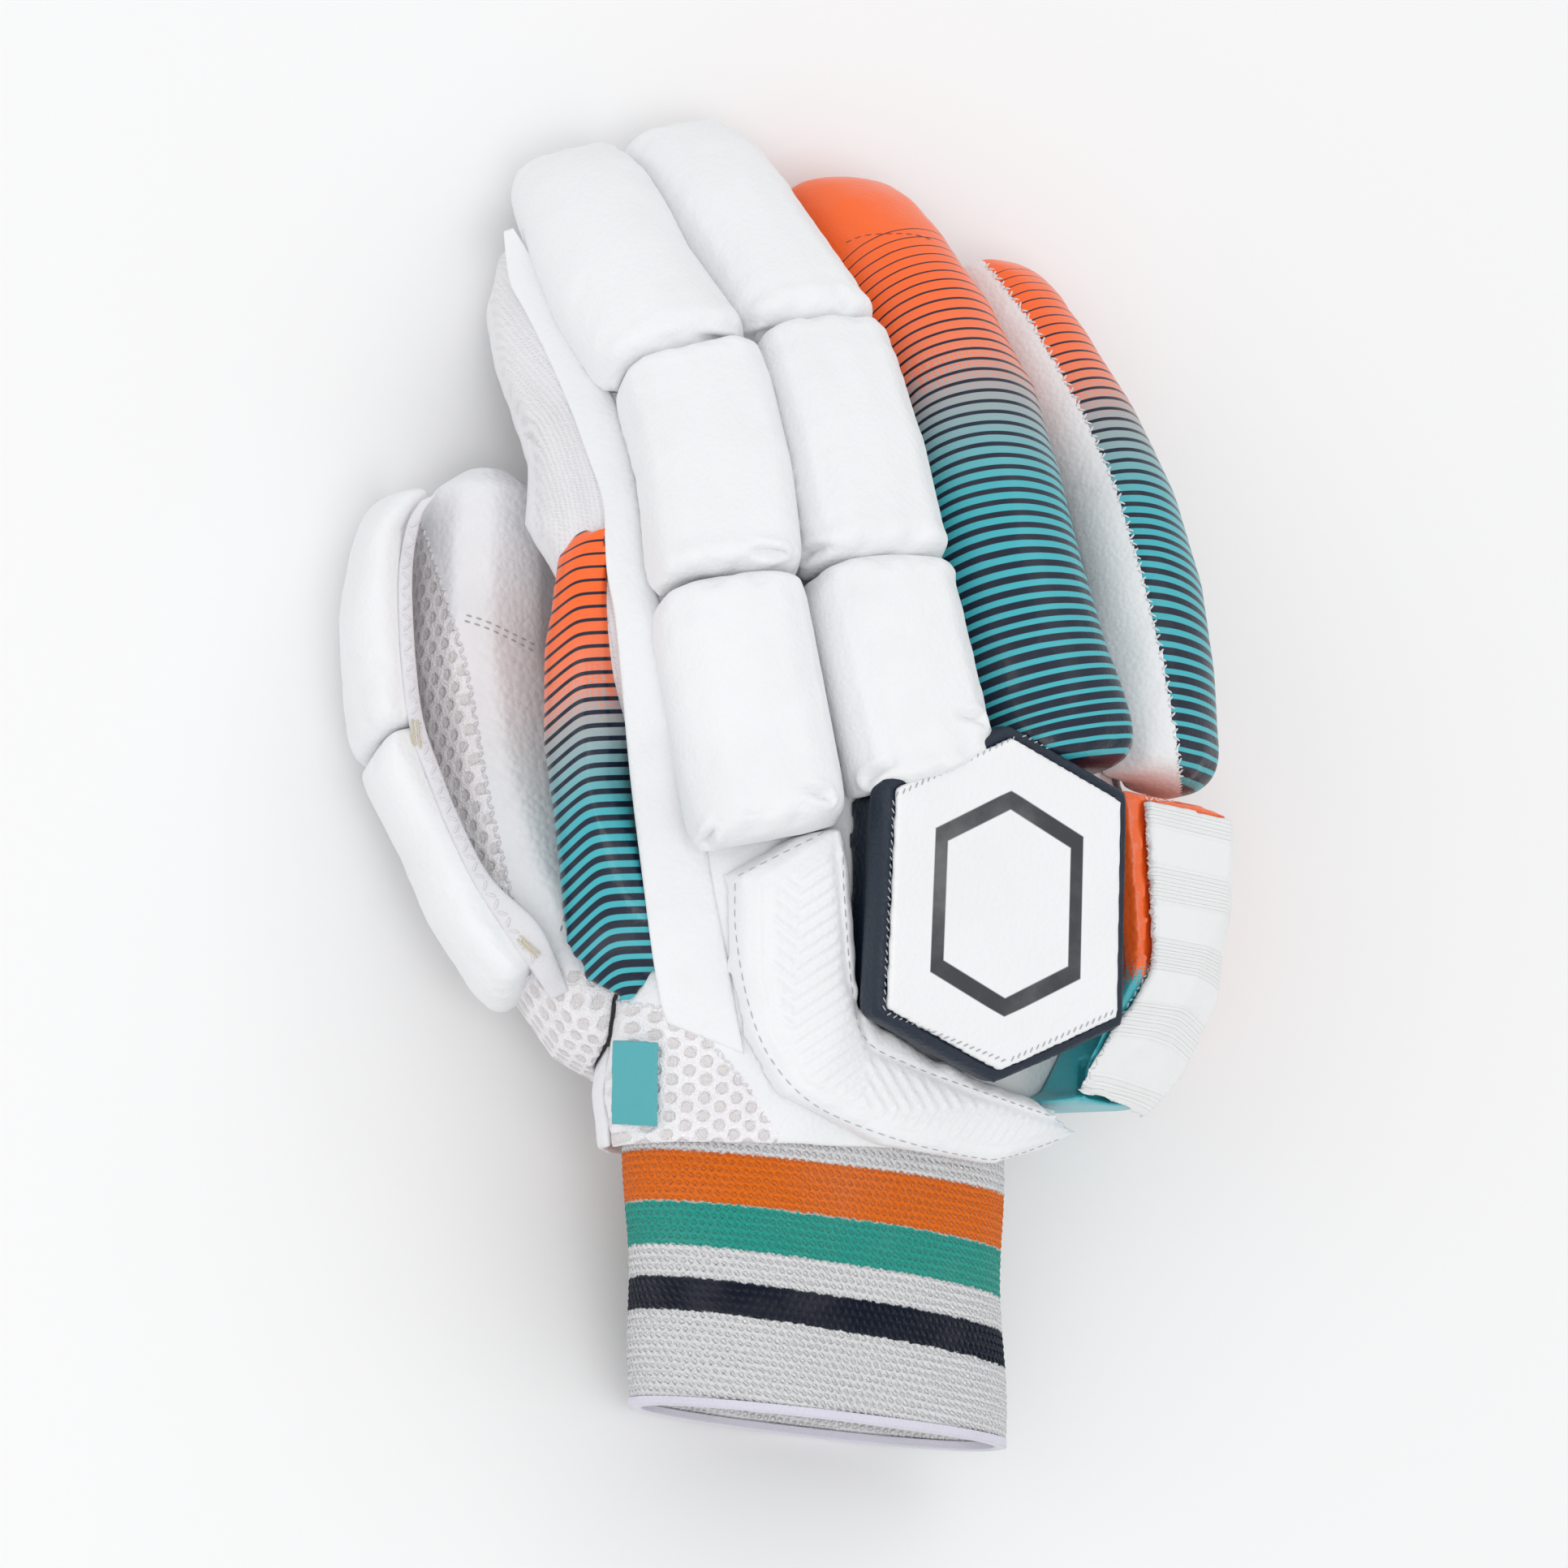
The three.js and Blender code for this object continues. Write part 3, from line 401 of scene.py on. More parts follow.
def maths(tree, operation, a, b=0.0, clamp=False):
    made = wire(tree, "ShaderNodeMath", {0: a, 1: b}, operation=operation, use_clamp=clamp)
    return made.outputs[0]


def plus(tree, a, b, clamp=False):
    return maths(tree, "ADD", a, b, clamp)


def less(tree, a, b, clamp=False):
    return maths(tree, "SUBTRACT", a, b, clamp)


def times(tree, a, b, clamp=False):
    return maths(tree, "MULTIPLY", a, b, clamp)


def mixed(tree, share, a, b):
    made = wire(tree, "ShaderNodeMix", data_type="RGBA")
    for index, value in ((0, share), (6, a), (7, b)):
        if isinstance(value, bpy.types.NodeSocket):
            tree.links.new(value, made.inputs[index])
        else:
            made.inputs[index].default_value = value
    return made.outputs[2]


def step_between(tree, value, low, high):
    """A smooth mask from 0 to 1 as value goes from low to high"""
    made = wire(tree, "ShaderNodeMapRange", {0: value, 1: low, 2: high, 3: 0.0, 4: 1.0})
    made.interpolation_type = "SMOOTHSTEP"
    return made.outputs[0]


def new_group(name, inputs, outputs):
    """A shader node group with named sockets, as (group, inputs, where its outputs go)"""
    group = bpy.data.node_groups.new(name, "ShaderNodeTree")
    for title, kind, value in inputs:
        socket = group.interface.new_socket(title, in_out="INPUT", socket_type=kind)
        if value is not None:
            socket.default_value = value
    for title, kind in outputs:
        group.interface.new_socket(title, in_out="OUTPUT", socket_type=kind)
    entry = group.nodes.new("NodeGroupInput")
    leave = group.nodes.new("NodeGroupOutput")
    return group, entry.outputs, leave.inputs


def use_group(tree, group, inputs):
    made = tree.nodes.new("ShaderNodeGroup")
    made.node_tree = group
    for key, value in inputs.items():
        socket = made.inputs[key]
        if isinstance(value, bpy.types.NodeSocket):
            tree.links.new(value, socket)
        else:
            socket.default_value = value
    return made.outputs


def leather_grain():
    """Fine pebbles with soft creases between them"""
    group, into, out = new_group(
        "leather grain",
        [("Place", "NodeSocketVector", None), ("Pebbles", "NodeSocketFloat", 900.0),
         ("Creases", "NodeSocketFloat", 0.35)],
        [("Height", "NodeSocketFloat"), ("Shade", "NodeSocketFloat")],
    )
    cells = wire(
        group, "ShaderNodeTexVoronoi", {"Vector": into["Place"], "Scale": into["Pebbles"]}, feature="F1",
    )
    wobble = wire(group, "ShaderNodeTexNoise", {"Vector": into["Place"], "Scale": 160.0, "Detail": 4.0})
    broad = wire(group, "ShaderNodeTexNoise", {"Vector": into["Place"], "Scale": 45.0, "Detail": 2.0})
    ridges = wire(
        group, "ShaderNodeTexNoise",
        {"Vector": into["Place"], "Scale": 240.0, "Detail": 3.0, "Distortion": 1.2},
        noise_type="RIDGED_MULTIFRACTAL",
    )
    pebble = less(group, 1.0, cells.outputs["Distance"])
    crease = times(group, ridges.outputs[0], into["Creases"])
    rough = times(group, wobble.outputs[0], 0.5)
    group.links.new(less(group, plus(group, pebble, rough), crease), out["Height"])
    group.links.new(broad.outputs[0], out["Shade"])
    return group


def soft_wear():
    """A colour with the slight unevenness and grime of handled leather or cloth"""
    group, into, out = new_group(
        "soft wear",
        [("Place", "NodeSocketVector", None), ("Colour", "NodeSocketColor", (1, 1, 1, 1)),
         ("Grime", "NodeSocketColor", (0.75, 0.74, 0.7, 1)), ("Amount", "NodeSocketFloat", 0.12)],
        [("Colour", "NodeSocketColor"), ("Mask", "NodeSocketFloat")],
    )
    blotches = {"Vector": into["Place"], "Scale": 38.0, "Detail": 5.0, "Roughness": 0.6}
    cloud = wire(group, "ShaderNodeTexNoise", blotches)
    mask = step_between(group, cloud.outputs[0], 0.42, 0.8)
    share = times(group, mask, into["Amount"], clamp=True)
    group.links.new(mixed(group, share, into["Colour"], into["Grime"]), out["Colour"])
    group.links.new(mask, out["Mask"])
    return group


def dot_print():
    """Small round dots, growing from none to all over as the share goes from 0 to 1"""
    group, into, out = new_group(
        "dot print",
        [("Place", "NodeSocketVector", None), ("Dots", "NodeSocketFloat", 1500.0),
         ("Share", "NodeSocketFloat", 0.5)],
        [("Mask", "NodeSocketFloat")],
    )
    cells = wire(
        group, "ShaderNodeTexVoronoi",
        {"Vector": into["Place"], "Scale": into["Dots"], "Randomness": 0.25}, feature="F1",
    )
    reach = times(group, into["Share"], 1.15)
    edge = less(group, reach, cells.outputs["Distance"])
    group.links.new(step_between(group, edge, -0.12, 0.12), out["Mask"])
    return group


def knit_loops():
    """Rows of slanted loops. Place is in millimetres: x round the cloth and y along it."""
    group, into, out = new_group(
        "knit loops",
        [("Place", "NodeSocketVector", None), ("Pitch", "NodeSocketFloat", 1.5)],
        [("Height", "NodeSocketFloat")],
    )
    split = wire(group, "ShaderNodeSeparateXYZ", {0: into["Place"]})
    wobble = wire(group, "ShaderNodeTexNoise", {"Vector": into["Place"], "Scale": 0.9, "Detail": 2.0})
    shake = times(group, less(group, wobble.outputs[0], 0.5), 0.7)
    turn = maths(group, "DIVIDE", 2 * math.pi, into["Pitch"])
    lean = times(group, split.outputs[1], 0.5)
    slant = plus(group, plus(group, split.outputs[0], lean), shake)
    rows = plus(group, split.outputs[1], shake)
    waves = [maths(group, "SINE", times(group, value, turn)) for value in (slant, rows)]
    loops_up = [plus(group, wave, 1.0) for wave in waves]
    group.links.new(times(group, *loops_up), out["Height"])
    return group


def mesh_holes():
    """Round holes in offset rows. Place is in millimetres."""
    group, into, out = new_group(
        "mesh holes",
        [("Place", "NodeSocketVector", None), ("Pitch", "NodeSocketFloat", 3.6),
         ("Hole", "NodeSocketFloat", 0.32)],
        [("Mask", "NodeSocketFloat"), ("Height", "NodeSocketFloat")],
    )
    split = wire(group, "ShaderNodeSeparateXYZ", {0: into["Place"]})
    y = maths(group, "DIVIDE", split.outputs[1], times(group, into["Pitch"], 0.866))
    row = maths(group, "FLOOR", y)
    odd = maths(group, "MODULO", maths(group, "ABSOLUTE", row), 2.0)
    shifted = times(group, odd, 0.5)
    x = plus(group, maths(group, "DIVIDE", split.outputs[0], into["Pitch"]), shifted)
    dx = less(group, maths(group, "FRACT", x), 0.5)
    dy = times(group, less(group, maths(group, "FRACT", y), 0.5), 0.866)
    squares = [times(group, step, step) for step in (dx, dy)]
    outside = less(group, maths(group, "SQRT", plus(group, *squares)), into["Hole"])
    group.links.new(less(group, 1.0, step_between(group, outside, -0.09, 0.06)), out["Mask"])
    group.links.new(step_between(group, outside, -0.12, 0.12), out["Height"])
    return group


grain = leather_grain()
wear = soft_wear()
dots = dot_print()
loops = knit_loops()
holes = mesh_holes()


def start_material(name, roughness, **shader_values):
    """A material with its tree, its main shader and the object's own coordinates"""
    material = bpy.data.materials.new(name)
    material.use_nodes = True
    tree = material.node_tree
    shader = tree.nodes["Principled BSDF"]
    shader.inputs["Roughness"].default_value = roughness
    for key, value in shader_values.items():
        shader.inputs[key.replace("_", " ").title().replace("Ior", "IOR")].default_value = value
    place = tree.nodes.new("ShaderNodeTexCoord").outputs["Object"]
    return material, tree, shader, place


def bump(tree, shader, height, distance):
    made = wire(tree, "ShaderNodeBump", {"Height": height, "Distance": distance})
    tree.links.new(made.outputs[0], shader.inputs["Normal"])


def paint(tree, shader, place, colour, grime, amount):
    """The base colour, worn and soiled a little"""
    worn = use_group(tree, wear, {"Place": place, "Colour": colour, "Grime": grime, "Amount": amount})
    tree.links.new(worn["Colour"], shader.inputs["Base Color"])


def pebbled(tree, place, pebbles, creases):
    """The height of leather's grain"""
    return use_group(tree, grain, {"Place": place, "Pebbles": pebbles, "Creases": creases})["Height"]


def uneven_gloss(tree, shader, place, base, spread):
    """Roughness that changes a little over the surface"""
    cloud = wire(tree, "ShaderNodeTexNoise", {"Vector": place, "Scale": 70.0, "Detail": 3.0})
    limits = {0: cloud.outputs[0], 1: 0.3, 2: 0.7, 3: base - spread, 4: base + spread}
    value = wire(tree, "ShaderNodeMapRange", limits)
    tree.links.new(value.outputs[0], shader.inputs["Roughness"])


def leather(name, colour, roughness=0.42, pebbles=900.0, depth=0.00012, creases=0.35, grime=0.12, coat=0.0):
    material, tree, shader, place = start_material(name, roughness, coat_weight=coat, coat_roughness=0.3)
    skin = pebbled(tree, place, pebbles, creases)
    tint = tuple(0.86 * c for c in colour[:3]) + (1,)
    paint(tree, shader, place, colour, tint, grime * 3)
    uneven_gloss(tree, shader, place, roughness, 0.06)
    bump(tree, shader, skin, depth)
    return material


def lay_of(tree):
    """The piece's own coordinates, in millimetres"""
    return wire(tree, "ShaderNodeAttribute", attribute_name="lay").outputs["Vector"]


ORANGE = (0.97, 0.145, 0.022, 1)
SALMON = (0.84, 0.27, 0.17, 1)
DUSK = (0.47, 0.37, 0.36, 1)
TEAL = (0.055, 0.44, 0.5, 1)
NAVY = (0.003, 0.010, 0.028, 1)
WHITE = (0.85, 0.858, 0.87, 1)


def printed(name, plain_end, dusk, bottom, pitch=2.45, thin=0.09, thick=0.66):
    """Glossy printed leather. Lengths are along the roll in millimetres from its tip: a plain orange end,
    then navy lines that thicken over orange, which turns to teal at dusk."""
    material, tree, shader, place = start_material(name, 0.3, coat_weight=0.2, coat_roughness=0.12)
    shader.inputs["Specular IOR Level"].default_value = 0.3
    lay = wire(tree, "ShaderNodeSeparateXYZ", {0: lay_of(tree)})
    along = lay.outputs[0]
    screen = wire(tree, "ShaderNodeCombineXYZ", {0: along, 1: lay.outputs[1], 2: 0.0}).outputs[0]
    finer = wire(tree, "ShaderNodeVectorMath", {0: screen, 1: (MM, MM, MM)}, operation="MULTIPLY").outputs[0]
    share = step_between(tree, along, dusk - 22, dusk + 14)
    dotted = use_group(tree, dots, {"Place": finer, "Dots": 1400.0, "Share": share})["Mask"]
    warm = mixed(tree, step_between(tree, along, dusk - 30, dusk + 4), ORANGE, SALMON)
    cool = mixed(tree, step_between(tree, along, dusk - 12, dusk + 22), DUSK, TEAL)
    ground = mixed(tree, dotted, warm, cool)
    wave = maths(tree, "FRACT", maths(tree, "DIVIDE", along, pitch))
    middle = maths(tree, "ABSOLUTE", less(tree, wave, 0.5))
    width = wire(tree, "ShaderNodeMapRange", {0: along, 1: plain_end, 2: bottom, 3: thin, 4: thick})
    edge = less(tree, times(tree, width.outputs[0], 0.5), middle)
    line = step_between(tree, edge, -0.035, 0.035)
    shown = times(tree, line, step_between(tree, along, plain_end - 0.4, plain_end + 0.4))
    ink = mixed(tree, shown, ground, NAVY)
    paint(tree, shader, place, ink, (0.3, 0.28, 0.28, 1), 0.05)
    skin = pebbled(tree, place, 1100.0, 0.15)
    uneven_gloss(tree, shader, place, 0.34, 0.05)
    bump(tree, shader, skin, 0.00006)
    return material


def wing_wall(name):
    """Leather that turns from orange to teal towards the wrist"""
    material, tree, shader, place = start_material(name, 0.36, coat_weight=0.3, coat_roughness=0.2)
    split = wire(tree, "ShaderNodeSeparateXYZ", {0: place})
    share = step_between(tree, split.outputs[1], -0.036, -0.053)
    dotted = use_group(tree, dots, {"Place": place, "Dots": 1400.0, "Share": share})["Mask"]
    colour = mixed(tree, dotted, ORANGE, TEAL)
    paint(tree, shader, place, colour, (0.3, 0.3, 0.3, 1), 0.06)
    skin = pebbled(tree, place, 900.0, 0.3)
    bump(tree, shader, skin, 0.00012)
    return material


def ribbed_leather(name):
    """Pearl leather with narrow pressed bands across it, painted a little darker in the grooves as painted
    shade
    """
    material, tree, shader, place = start_material(name, 0.34, coat_weight=0.25, coat_roughness=0.25)
    split = wire(tree, "ShaderNodeSeparateXYZ", {0: lay_of(tree)})
    y = split.outputs[1]
    fine = maths(tree, "FRACT", maths(tree, "DIVIDE", y, 1.6))
    ridge = step_between(tree, maths(tree, "ABSOLUTE", less(tree, fine, 0.5)), 0.12, 0.28)
    broad = maths(tree, "SINE", times(tree, y, 2 * math.pi / 15.0))
    shown = step_between(tree, broad, -0.35, 0.25)
    band = times(tree, ridge, shown)
    # Painted shade: the pressed bands are coloured a little darker where they sink in.
    colour = mixed(tree, times(tree, band, 0.25), (0.84, 0.85, 0.85, 1), (0.7, 0.71, 0.7, 1))
    paint(tree, shader, place, colour, (0.66, 0.66, 0.64, 1), 0.25)
    skin = pebbled(tree, place, 900.0, 0.3)
    height = plus(tree, times(tree, skin, 0.4), times(tree, band, -0.7))
    bump(tree, shader, height, 0.00022)
    return material


FACE_HALF_WIDTH = 25.8
POINT_SLOPE = (0.394, 0.919)  # outward direction of the face's pointed sides
FACE_POINT_REACH = 27.4
RING_AT = 0.6  # the ring's place, as a share of the way to the face's edge


def faced_leather(name):
    """The hexagon's white face, with a plain charcoal ring printed on it"""
    material, tree, shader, place = start_material(name, 0.55)
    split = wire(tree, "ShaderNodeSeparateXYZ", {0: lay_of(tree)})
    x = maths(tree, "ABSOLUTE", split.outputs[0])
    y = maths(tree, "ABSOLUTE", split.outputs[1])
    flat_side = maths(tree, "DIVIDE", x, FACE_HALF_WIDTH)
    across, ahead = POINT_SLOPE
    slope = plus(tree, times(tree, x, across), times(tree, y, ahead))
    pointed = maths(tree, "DIVIDE", slope, FACE_POINT_REACH)
    reach = maths(tree, "MAXIMUM", flat_side, pointed)
    band = maths(tree, "ABSOLUTE", less(tree, reach, RING_AT))
    ink = less(tree, 1.0, step_between(tree, band, 0.05, 0.062))
    colour = mixed(tree, ink, WHITE, (0.035, 0.037, 0.042, 1))
    paint(tree, shader, place, colour, (0.7, 0.72, 0.72, 1), 0.2)
    skin = pebbled(tree, place, 850.0, 0.3)
    uneven_gloss(tree, shader, place, 0.42, 0.05)
    bump(tree, shader, skin, 0.00012)
    return material


def towelling(name):
    """The cuff's looped knit with its coloured bands, and painted shade in the hollows between its loops. The
    lay is round the cuff and down it.
    """
    material, tree, shader, place = start_material(name, 0.9, sheen_weight=0.1, sheen_roughness=0.5)
    shader.inputs["Specular IOR Level"].default_value = 0.15
    lay = lay_of(tree)
    split = wire(tree, "ShaderNodeSeparateXYZ", {0: lay})
    jitter = wire(tree, "ShaderNodeTexNoise", {"Vector": lay, "Scale": 1.1, "Detail": 1.0})
    shaken = times(tree, less(tree, jitter.outputs[0], 0.5), 1.3)
    y = plus(tree, split.outputs[1], shaken)
    colour = (0.93, 0.93, 0.94, 1)
    for low, high, ink in CUFF_BANDS:
        inside = times(tree, step_between(tree, y, low - 0.25, low + 0.25),
                       step_between(tree, y, high + 0.25, high - 0.25))
        colour = mixed(tree, inside, colour, ink)
    knit = use_group(tree, loops, {"Place": lay, "Pitch": 1.7})["Height"]
    # Painted shade: the colour is darkened towards black where the knit loops are low, standing in for the
    # shade between them.
    shade = plus(tree, times(tree, knit, 0.26), 0.56, clamp=True)
    dark = mixed(tree, 0.45, colour, (0.0, 0.0, 0.0, 1))
    shaded = mixed(tree, shade, dark, colour)
    fuzz = wire(tree, "ShaderNodeTexNoise", {"Vector": place, "Scale": 2600.0, "Detail": 3.0})
    paint(tree, shader, place, shaded, (0.6, 0.58, 0.58, 1), 0.08)
    height = plus(tree, times(tree, knit, 0.3), times(tree, fuzz.outputs[0], 0.35))
    bump(tree, shader, height, 0.0008)
    return material


CUFF_BANDS = (
    (15.4, 26.5, (1.0, 0.2, 0.012, 1)),
    (26.6, 36.2, (0.03, 0.42, 0.34, 1)),
    (43.2, 50.6, (0.003, 0.008, 0.025, 1)),
)


def spacer_mesh(name, pitch=3.6, hole=0.3):
    """Knitted mesh with round holes, painted darker inside as painted shade"""
    material, tree, shader, place = start_material(name, 0.8, sheen_weight=0.3)
    lay = lay_of(tree)
    turned = wire(tree, "ShaderNodeMapping", {"Vector": lay, "Rotation": (0, 0, math.radians(90))}).outputs[0]
    net = use_group(tree, holes, {"Place": turned, "Pitch": pitch, "Hole": hole})
    yarn = wire(tree, "ShaderNodeTexVoronoi", {"Vector": place, "Scale": 2100.0}, feature="F1")
    # Painted shade: the holes are coloured a darker beige, standing in for the shade inside them.
    colour = mixed(tree, times(tree, net["Mask"], 0.5), (0.92, 0.9, 0.92, 1), (0.6, 0.54, 0.52, 1))
    paint(tree, shader, place, colour, (0.6, 0.56, 0.56, 1), 0.3)
    height = plus(tree, net["Height"], times(tree, yarn.outputs["Distance"], 0.5))
    bump(tree, shader, height, 0.0005)
    return material


def rib_knit(name):
    """Plain fine knit with narrow ribs along the finger"""
    material, tree, shader, place = start_material(name, 0.85, sheen_weight=0.4)
    lay = lay_of(tree)
    split = wire(tree, "ShaderNodeSeparateXYZ", {0: lay})
    ribs = maths(tree, "SINE", times(tree, split.outputs[1], 2 * math.pi / 1.1))
    loops_here = use_group(tree, loops, {"Place": lay, "Pitch": 0.9})["Height"]
    height = plus(tree, times(tree, ribs, 0.25), times(tree, loops_here, 0.2))
    paint(tree, shader, place, (0.8, 0.79, 0.81, 1), (0.62, 0.6, 0.62, 1), 0.3)
    bump(tree, shader, height, 0.0002)
    return material


def tape_weave(name, colour):
    """A woven satin tape"""
    material, tree, shader, place = start_material(name, 0.42, sheen_weight=0.3)
    lay = lay_of(tree)
    weave = wire(tree, "ShaderNodeTexChecker", {"Vector": lay, "Scale": 3.0})
    paint(tree, shader, place, colour, (0.05, 0.25, 0.28, 1), 0.3)
    bump(tree, shader, weave.outputs["Fac"], 0.0001)
    return material


def thread(name, colour):
    """Twisted sewing thread"""
    material, tree, shader, place = start_material(name, 0.6, sheen_weight=0.4)
    twist = wire(tree, "ShaderNodeTexNoise", {"Vector": place, "Scale": 3500.0, "Detail": 2.0})
    paint(tree, shader, place, colour, (0.4, 0.4, 0.4, 1), 0.25)
    bump(tree, shader, twist.outputs[0], 0.0002)
    return material


white_leather = leather("white leather", WHITE, 0.58)
soft_leather = leather("soft palm leather", (0.83, 0.83, 0.85, 1), 0.55, 650.0, 0.0002, 0.6, 0.16)
panel_leather = leather("panel leather", WHITE, 0.56, 1000.0, 0.0001, 0.3, 0.1)
navy_leather = leather("navy leather", (0.004, 0.013, 0.03, 1), 0.5, 850.0, 0.0002, 0.3, 0.3)
wall_leather = wing_wall("orange and teal leather")
face_leather = faced_leather("printed face leather")
pearl_leather = ribbed_leather("ribbed pearl leather")
ring_print = printed("ring roll print", 27.0, 71.0, 136.0)
little_print = printed("little roll print", 8.0, 51.0, 118.0)
side_print = printed("side roll print", 1.0, 44.0, 98.0, 2.85, 0.16, 0.62)
cuff_knit = towelling("cuff towelling")
finger_knit = rib_knit("finger knit")
thumb_mesh = spacer_mesh("thumb mesh")
label_tape = tape_weave("teal tape", (0.075, 0.42, 0.46, 1))
grey_thread = thread("grey thread", (0.42, 0.43, 0.46, 1))
white_thread = thread("white thread", (0.78, 0.77, 0.8, 1))
cream_thread = thread("cream thread", (0.7, 0.62, 0.45, 1))
lilac_thread = thread("lilac thread", (0.72, 0.7, 0.8, 1))
brown_thread = thread("dark thread", (0.13, 0.05, 0.04, 1))

# Soft pieces


def copy_of(names, name):
    """A merged copy of the mesh of one or more CAD nodes as a new object"""
    copies = []
    for node in names:
        mesh = nodes[node].data.copy()
        mesh.materials.clear()
        copies.append(bpy.data.objects.new(name, mesh))
        bpy.context.scene.collection.objects.link(copies[-1])
    piece = copies[0]
    take(piece)
    if len(copies) > 1:
        for other in copies:
            other.select_set(True)
        bpy.ops.object.join()
    bpy.ops.object.mode_set(mode="EDIT")
    bpy.ops.mesh.select_all(action="SELECT")
    bpy.ops.mesh.remove_doubles(threshold=2e-6)
    bpy.ops.object.mode_set(mode="OBJECT")
    return piece


def remeshed(node, name, voxel, smoothing):
    """A smooth, even copy of a CAD node. Sizes are in millimetres."""
    piece = copy_of([node] if isinstance(node, str) else node, name)
    modifier = piece.modifiers.new("Voxels", "REMESH")
    modifier.mode = "VOXEL"
    modifier.voxel_size = voxel * MM
    modifier.use_smooth_shade = True
    apply(piece, modifier)
    if smoothing:
        modifier = piece.modifiers.new("Ease", "SMOOTH")
        modifier.factor = 0.5
        modifier.iterations = smoothing
        apply(piece, modifier)
    return piece


CLOTH_SCALE = 16.0  # the simulation runs on an enlarged copy, at the size that cloth settings are made for
CLOTH_FRAMES = 20
CLOTH_PRESSURE = 4.0
SWELL_LIMIT = 0.9  # the furthest that a point may move, in millimetres


def inflate(piece, held):
    """Blows a stuffed piece up a little with a cloth simulation, except where it is held at its seat"""
    rest = spots(piece)
    group = piece.vertex_groups.new(name="seat")
    group.add([int(i) for i in np.where(held)[0]], 1.0, "REPLACE")
    move(piece, rest * CLOTH_SCALE)
    modifier = piece.modifiers.new("Swell", "CLOTH")
    settings = modifier.settings
    settings.quality = 4
    settings.mass = 0.3
    settings.tension_stiffness = 12
    settings.compression_stiffness = 12
    settings.shear_stiffness = 6
    settings.bending_stiffness = 0.6
    settings.use_pressure = True
    settings.uniform_pressure_force = CLOTH_PRESSURE
    settings.effector_weights.gravity = 0
    settings.vertex_group_mass = "seat"
    modifier.collision_settings.use_collision = False
    modifier.point_cache.frame_start = 1
    modifier.point_cache.frame_end = CLOTH_FRAMES
    for number in range(1, CLOTH_FRAMES + 1):
        bpy.context.scene.frame_set(number)
    apply(piece, modifier)
    piece.vertex_groups.clear()
    step = spots(piece) / CLOTH_SCALE - rest
    far = np.linalg.norm(step, axis=1, keepdims=True)
    move(piece, rest + step * np.minimum(1, SWELL_LIMIT / np.maximum(far, 1e-9)))
    bpy.context.scene.frame_set(1)


def subdivide(piece, levels=1):
    modifier = piece.modifiers.new("Finer", "SUBSURF")
    modifier.levels = modifier.render_levels = levels
    apply(piece, modifier)


def above_table(piece):
    """Keeps a soft piece on the table"""
    points = spots(piece)
    points[:, 2] = np.maximum(points[:, 2], 0.0)
    move(piece, points)


def finish_piece(piece, material, node=None):
    """Gives a piece its finish and ties it to the frame"""
    piece.data.materials.clear()
    piece.data.materials.append(material)
    take(piece)
    bpy.ops.object.shade_smooth()
    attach(piece, "root")
    if node:
        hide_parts(*([node] if isinstance(node, str) else node))
    return piece


def set_lay(piece, lay):
    """Stores a piece's own coordinates, in millimetres, for its material"""
    stored = piece.data.attributes.get("lay") or piece.data.attributes.new("lay", "FLOAT_VECTOR", "POINT")
    stored.data.foreach_set("vector", lay.astype(np.float32).ravel())


def distance_to(points, path):
    """Distance from each point to a path of straight lines"""
    best = np.full(len(points), 1e9)
    for a, b in zip(path[:-1], path[1:]):
        line = b - a
        share = np.clip(((points - a) @ line) / max(line @ line, 1e-9), 0, 1)
        best = np.minimum(best, np.linalg.norm(points - a - share[:, None] * line, axis=1))
    return best


TUCK_WIDTH = 0.9
TUCK_DEPTH = 1.7
TUCK_RIM = 0.35  # the swelling beside it, as a share of its depth


def tuck_in(piece, path):
    """Presses a tuck into a piece along a path, deepest at its start, with a low swelling on both sides"""
    points = spots(piece)
    path = np.asarray(path, float)
    away = distance_to(points, path)
    fade = 1 - ramp(np.linalg.norm(points - path[0], axis=1), 0.4 * np.linalg.norm(path[-1] - path[0]),
                    1.25 * np.linalg.norm(path[-1] - path[0]))
    swelling = np.exp(-(((away - 2.3 * TUCK_WIDTH) / TUCK_WIDTH) ** 2))
    groove = np.exp(-((away / TUCK_WIDTH) ** 2)) - TUCK_RIM * swelling
    move(piece, points - normals(piece) * (TUCK_DEPTH * fade * groove)[:, None])


def tree_of(pieces):
    """One search tree over several pieces, in millimetres"""
    points, faces, base = [], [], 0
    for piece in pieces:
        own = spots(piece)
        points.extend(map(Vector, own))
        faces.extend([[v + base for v in face.vertices] for face in piece.data.polygons])
        base += len(own)
    return BVHTree.FromPolygons(points, faces)


def seen(tree, pixel):
    """Where the line of sight through a photo pixel meets a piece, with the surface's normal"""
    x, y = pixel
    aside = (x - HALF_PHOTO) * PIXEL * VIEW_RIGHT - (y - HALF_PHOTO) * PIXEL * VIEW_UP
    ahead = aside - VIEW_BACK * VIEW_DISTANCE
    spot, normal, _, _ = tree.ray_cast(Vector(EYE), Vector(ahead).normalized())
    return (None, None) if spot is None else (np.array(spot), np.array(normal))


def pixels_of(points):
    """The photo pixels that points show at, and their distances from the camera"""
    rest = points - EYE
    deep = -(rest @ VIEW_BACK)
    x = HALF_PHOTO + (rest @ VIEW_RIGHT) / deep * VIEW_DISTANCE / PIXEL
    y = HALF_PHOTO - (rest @ VIEW_UP) / deep * VIEW_DISTANCE / PIXEL
    return x, y, deep


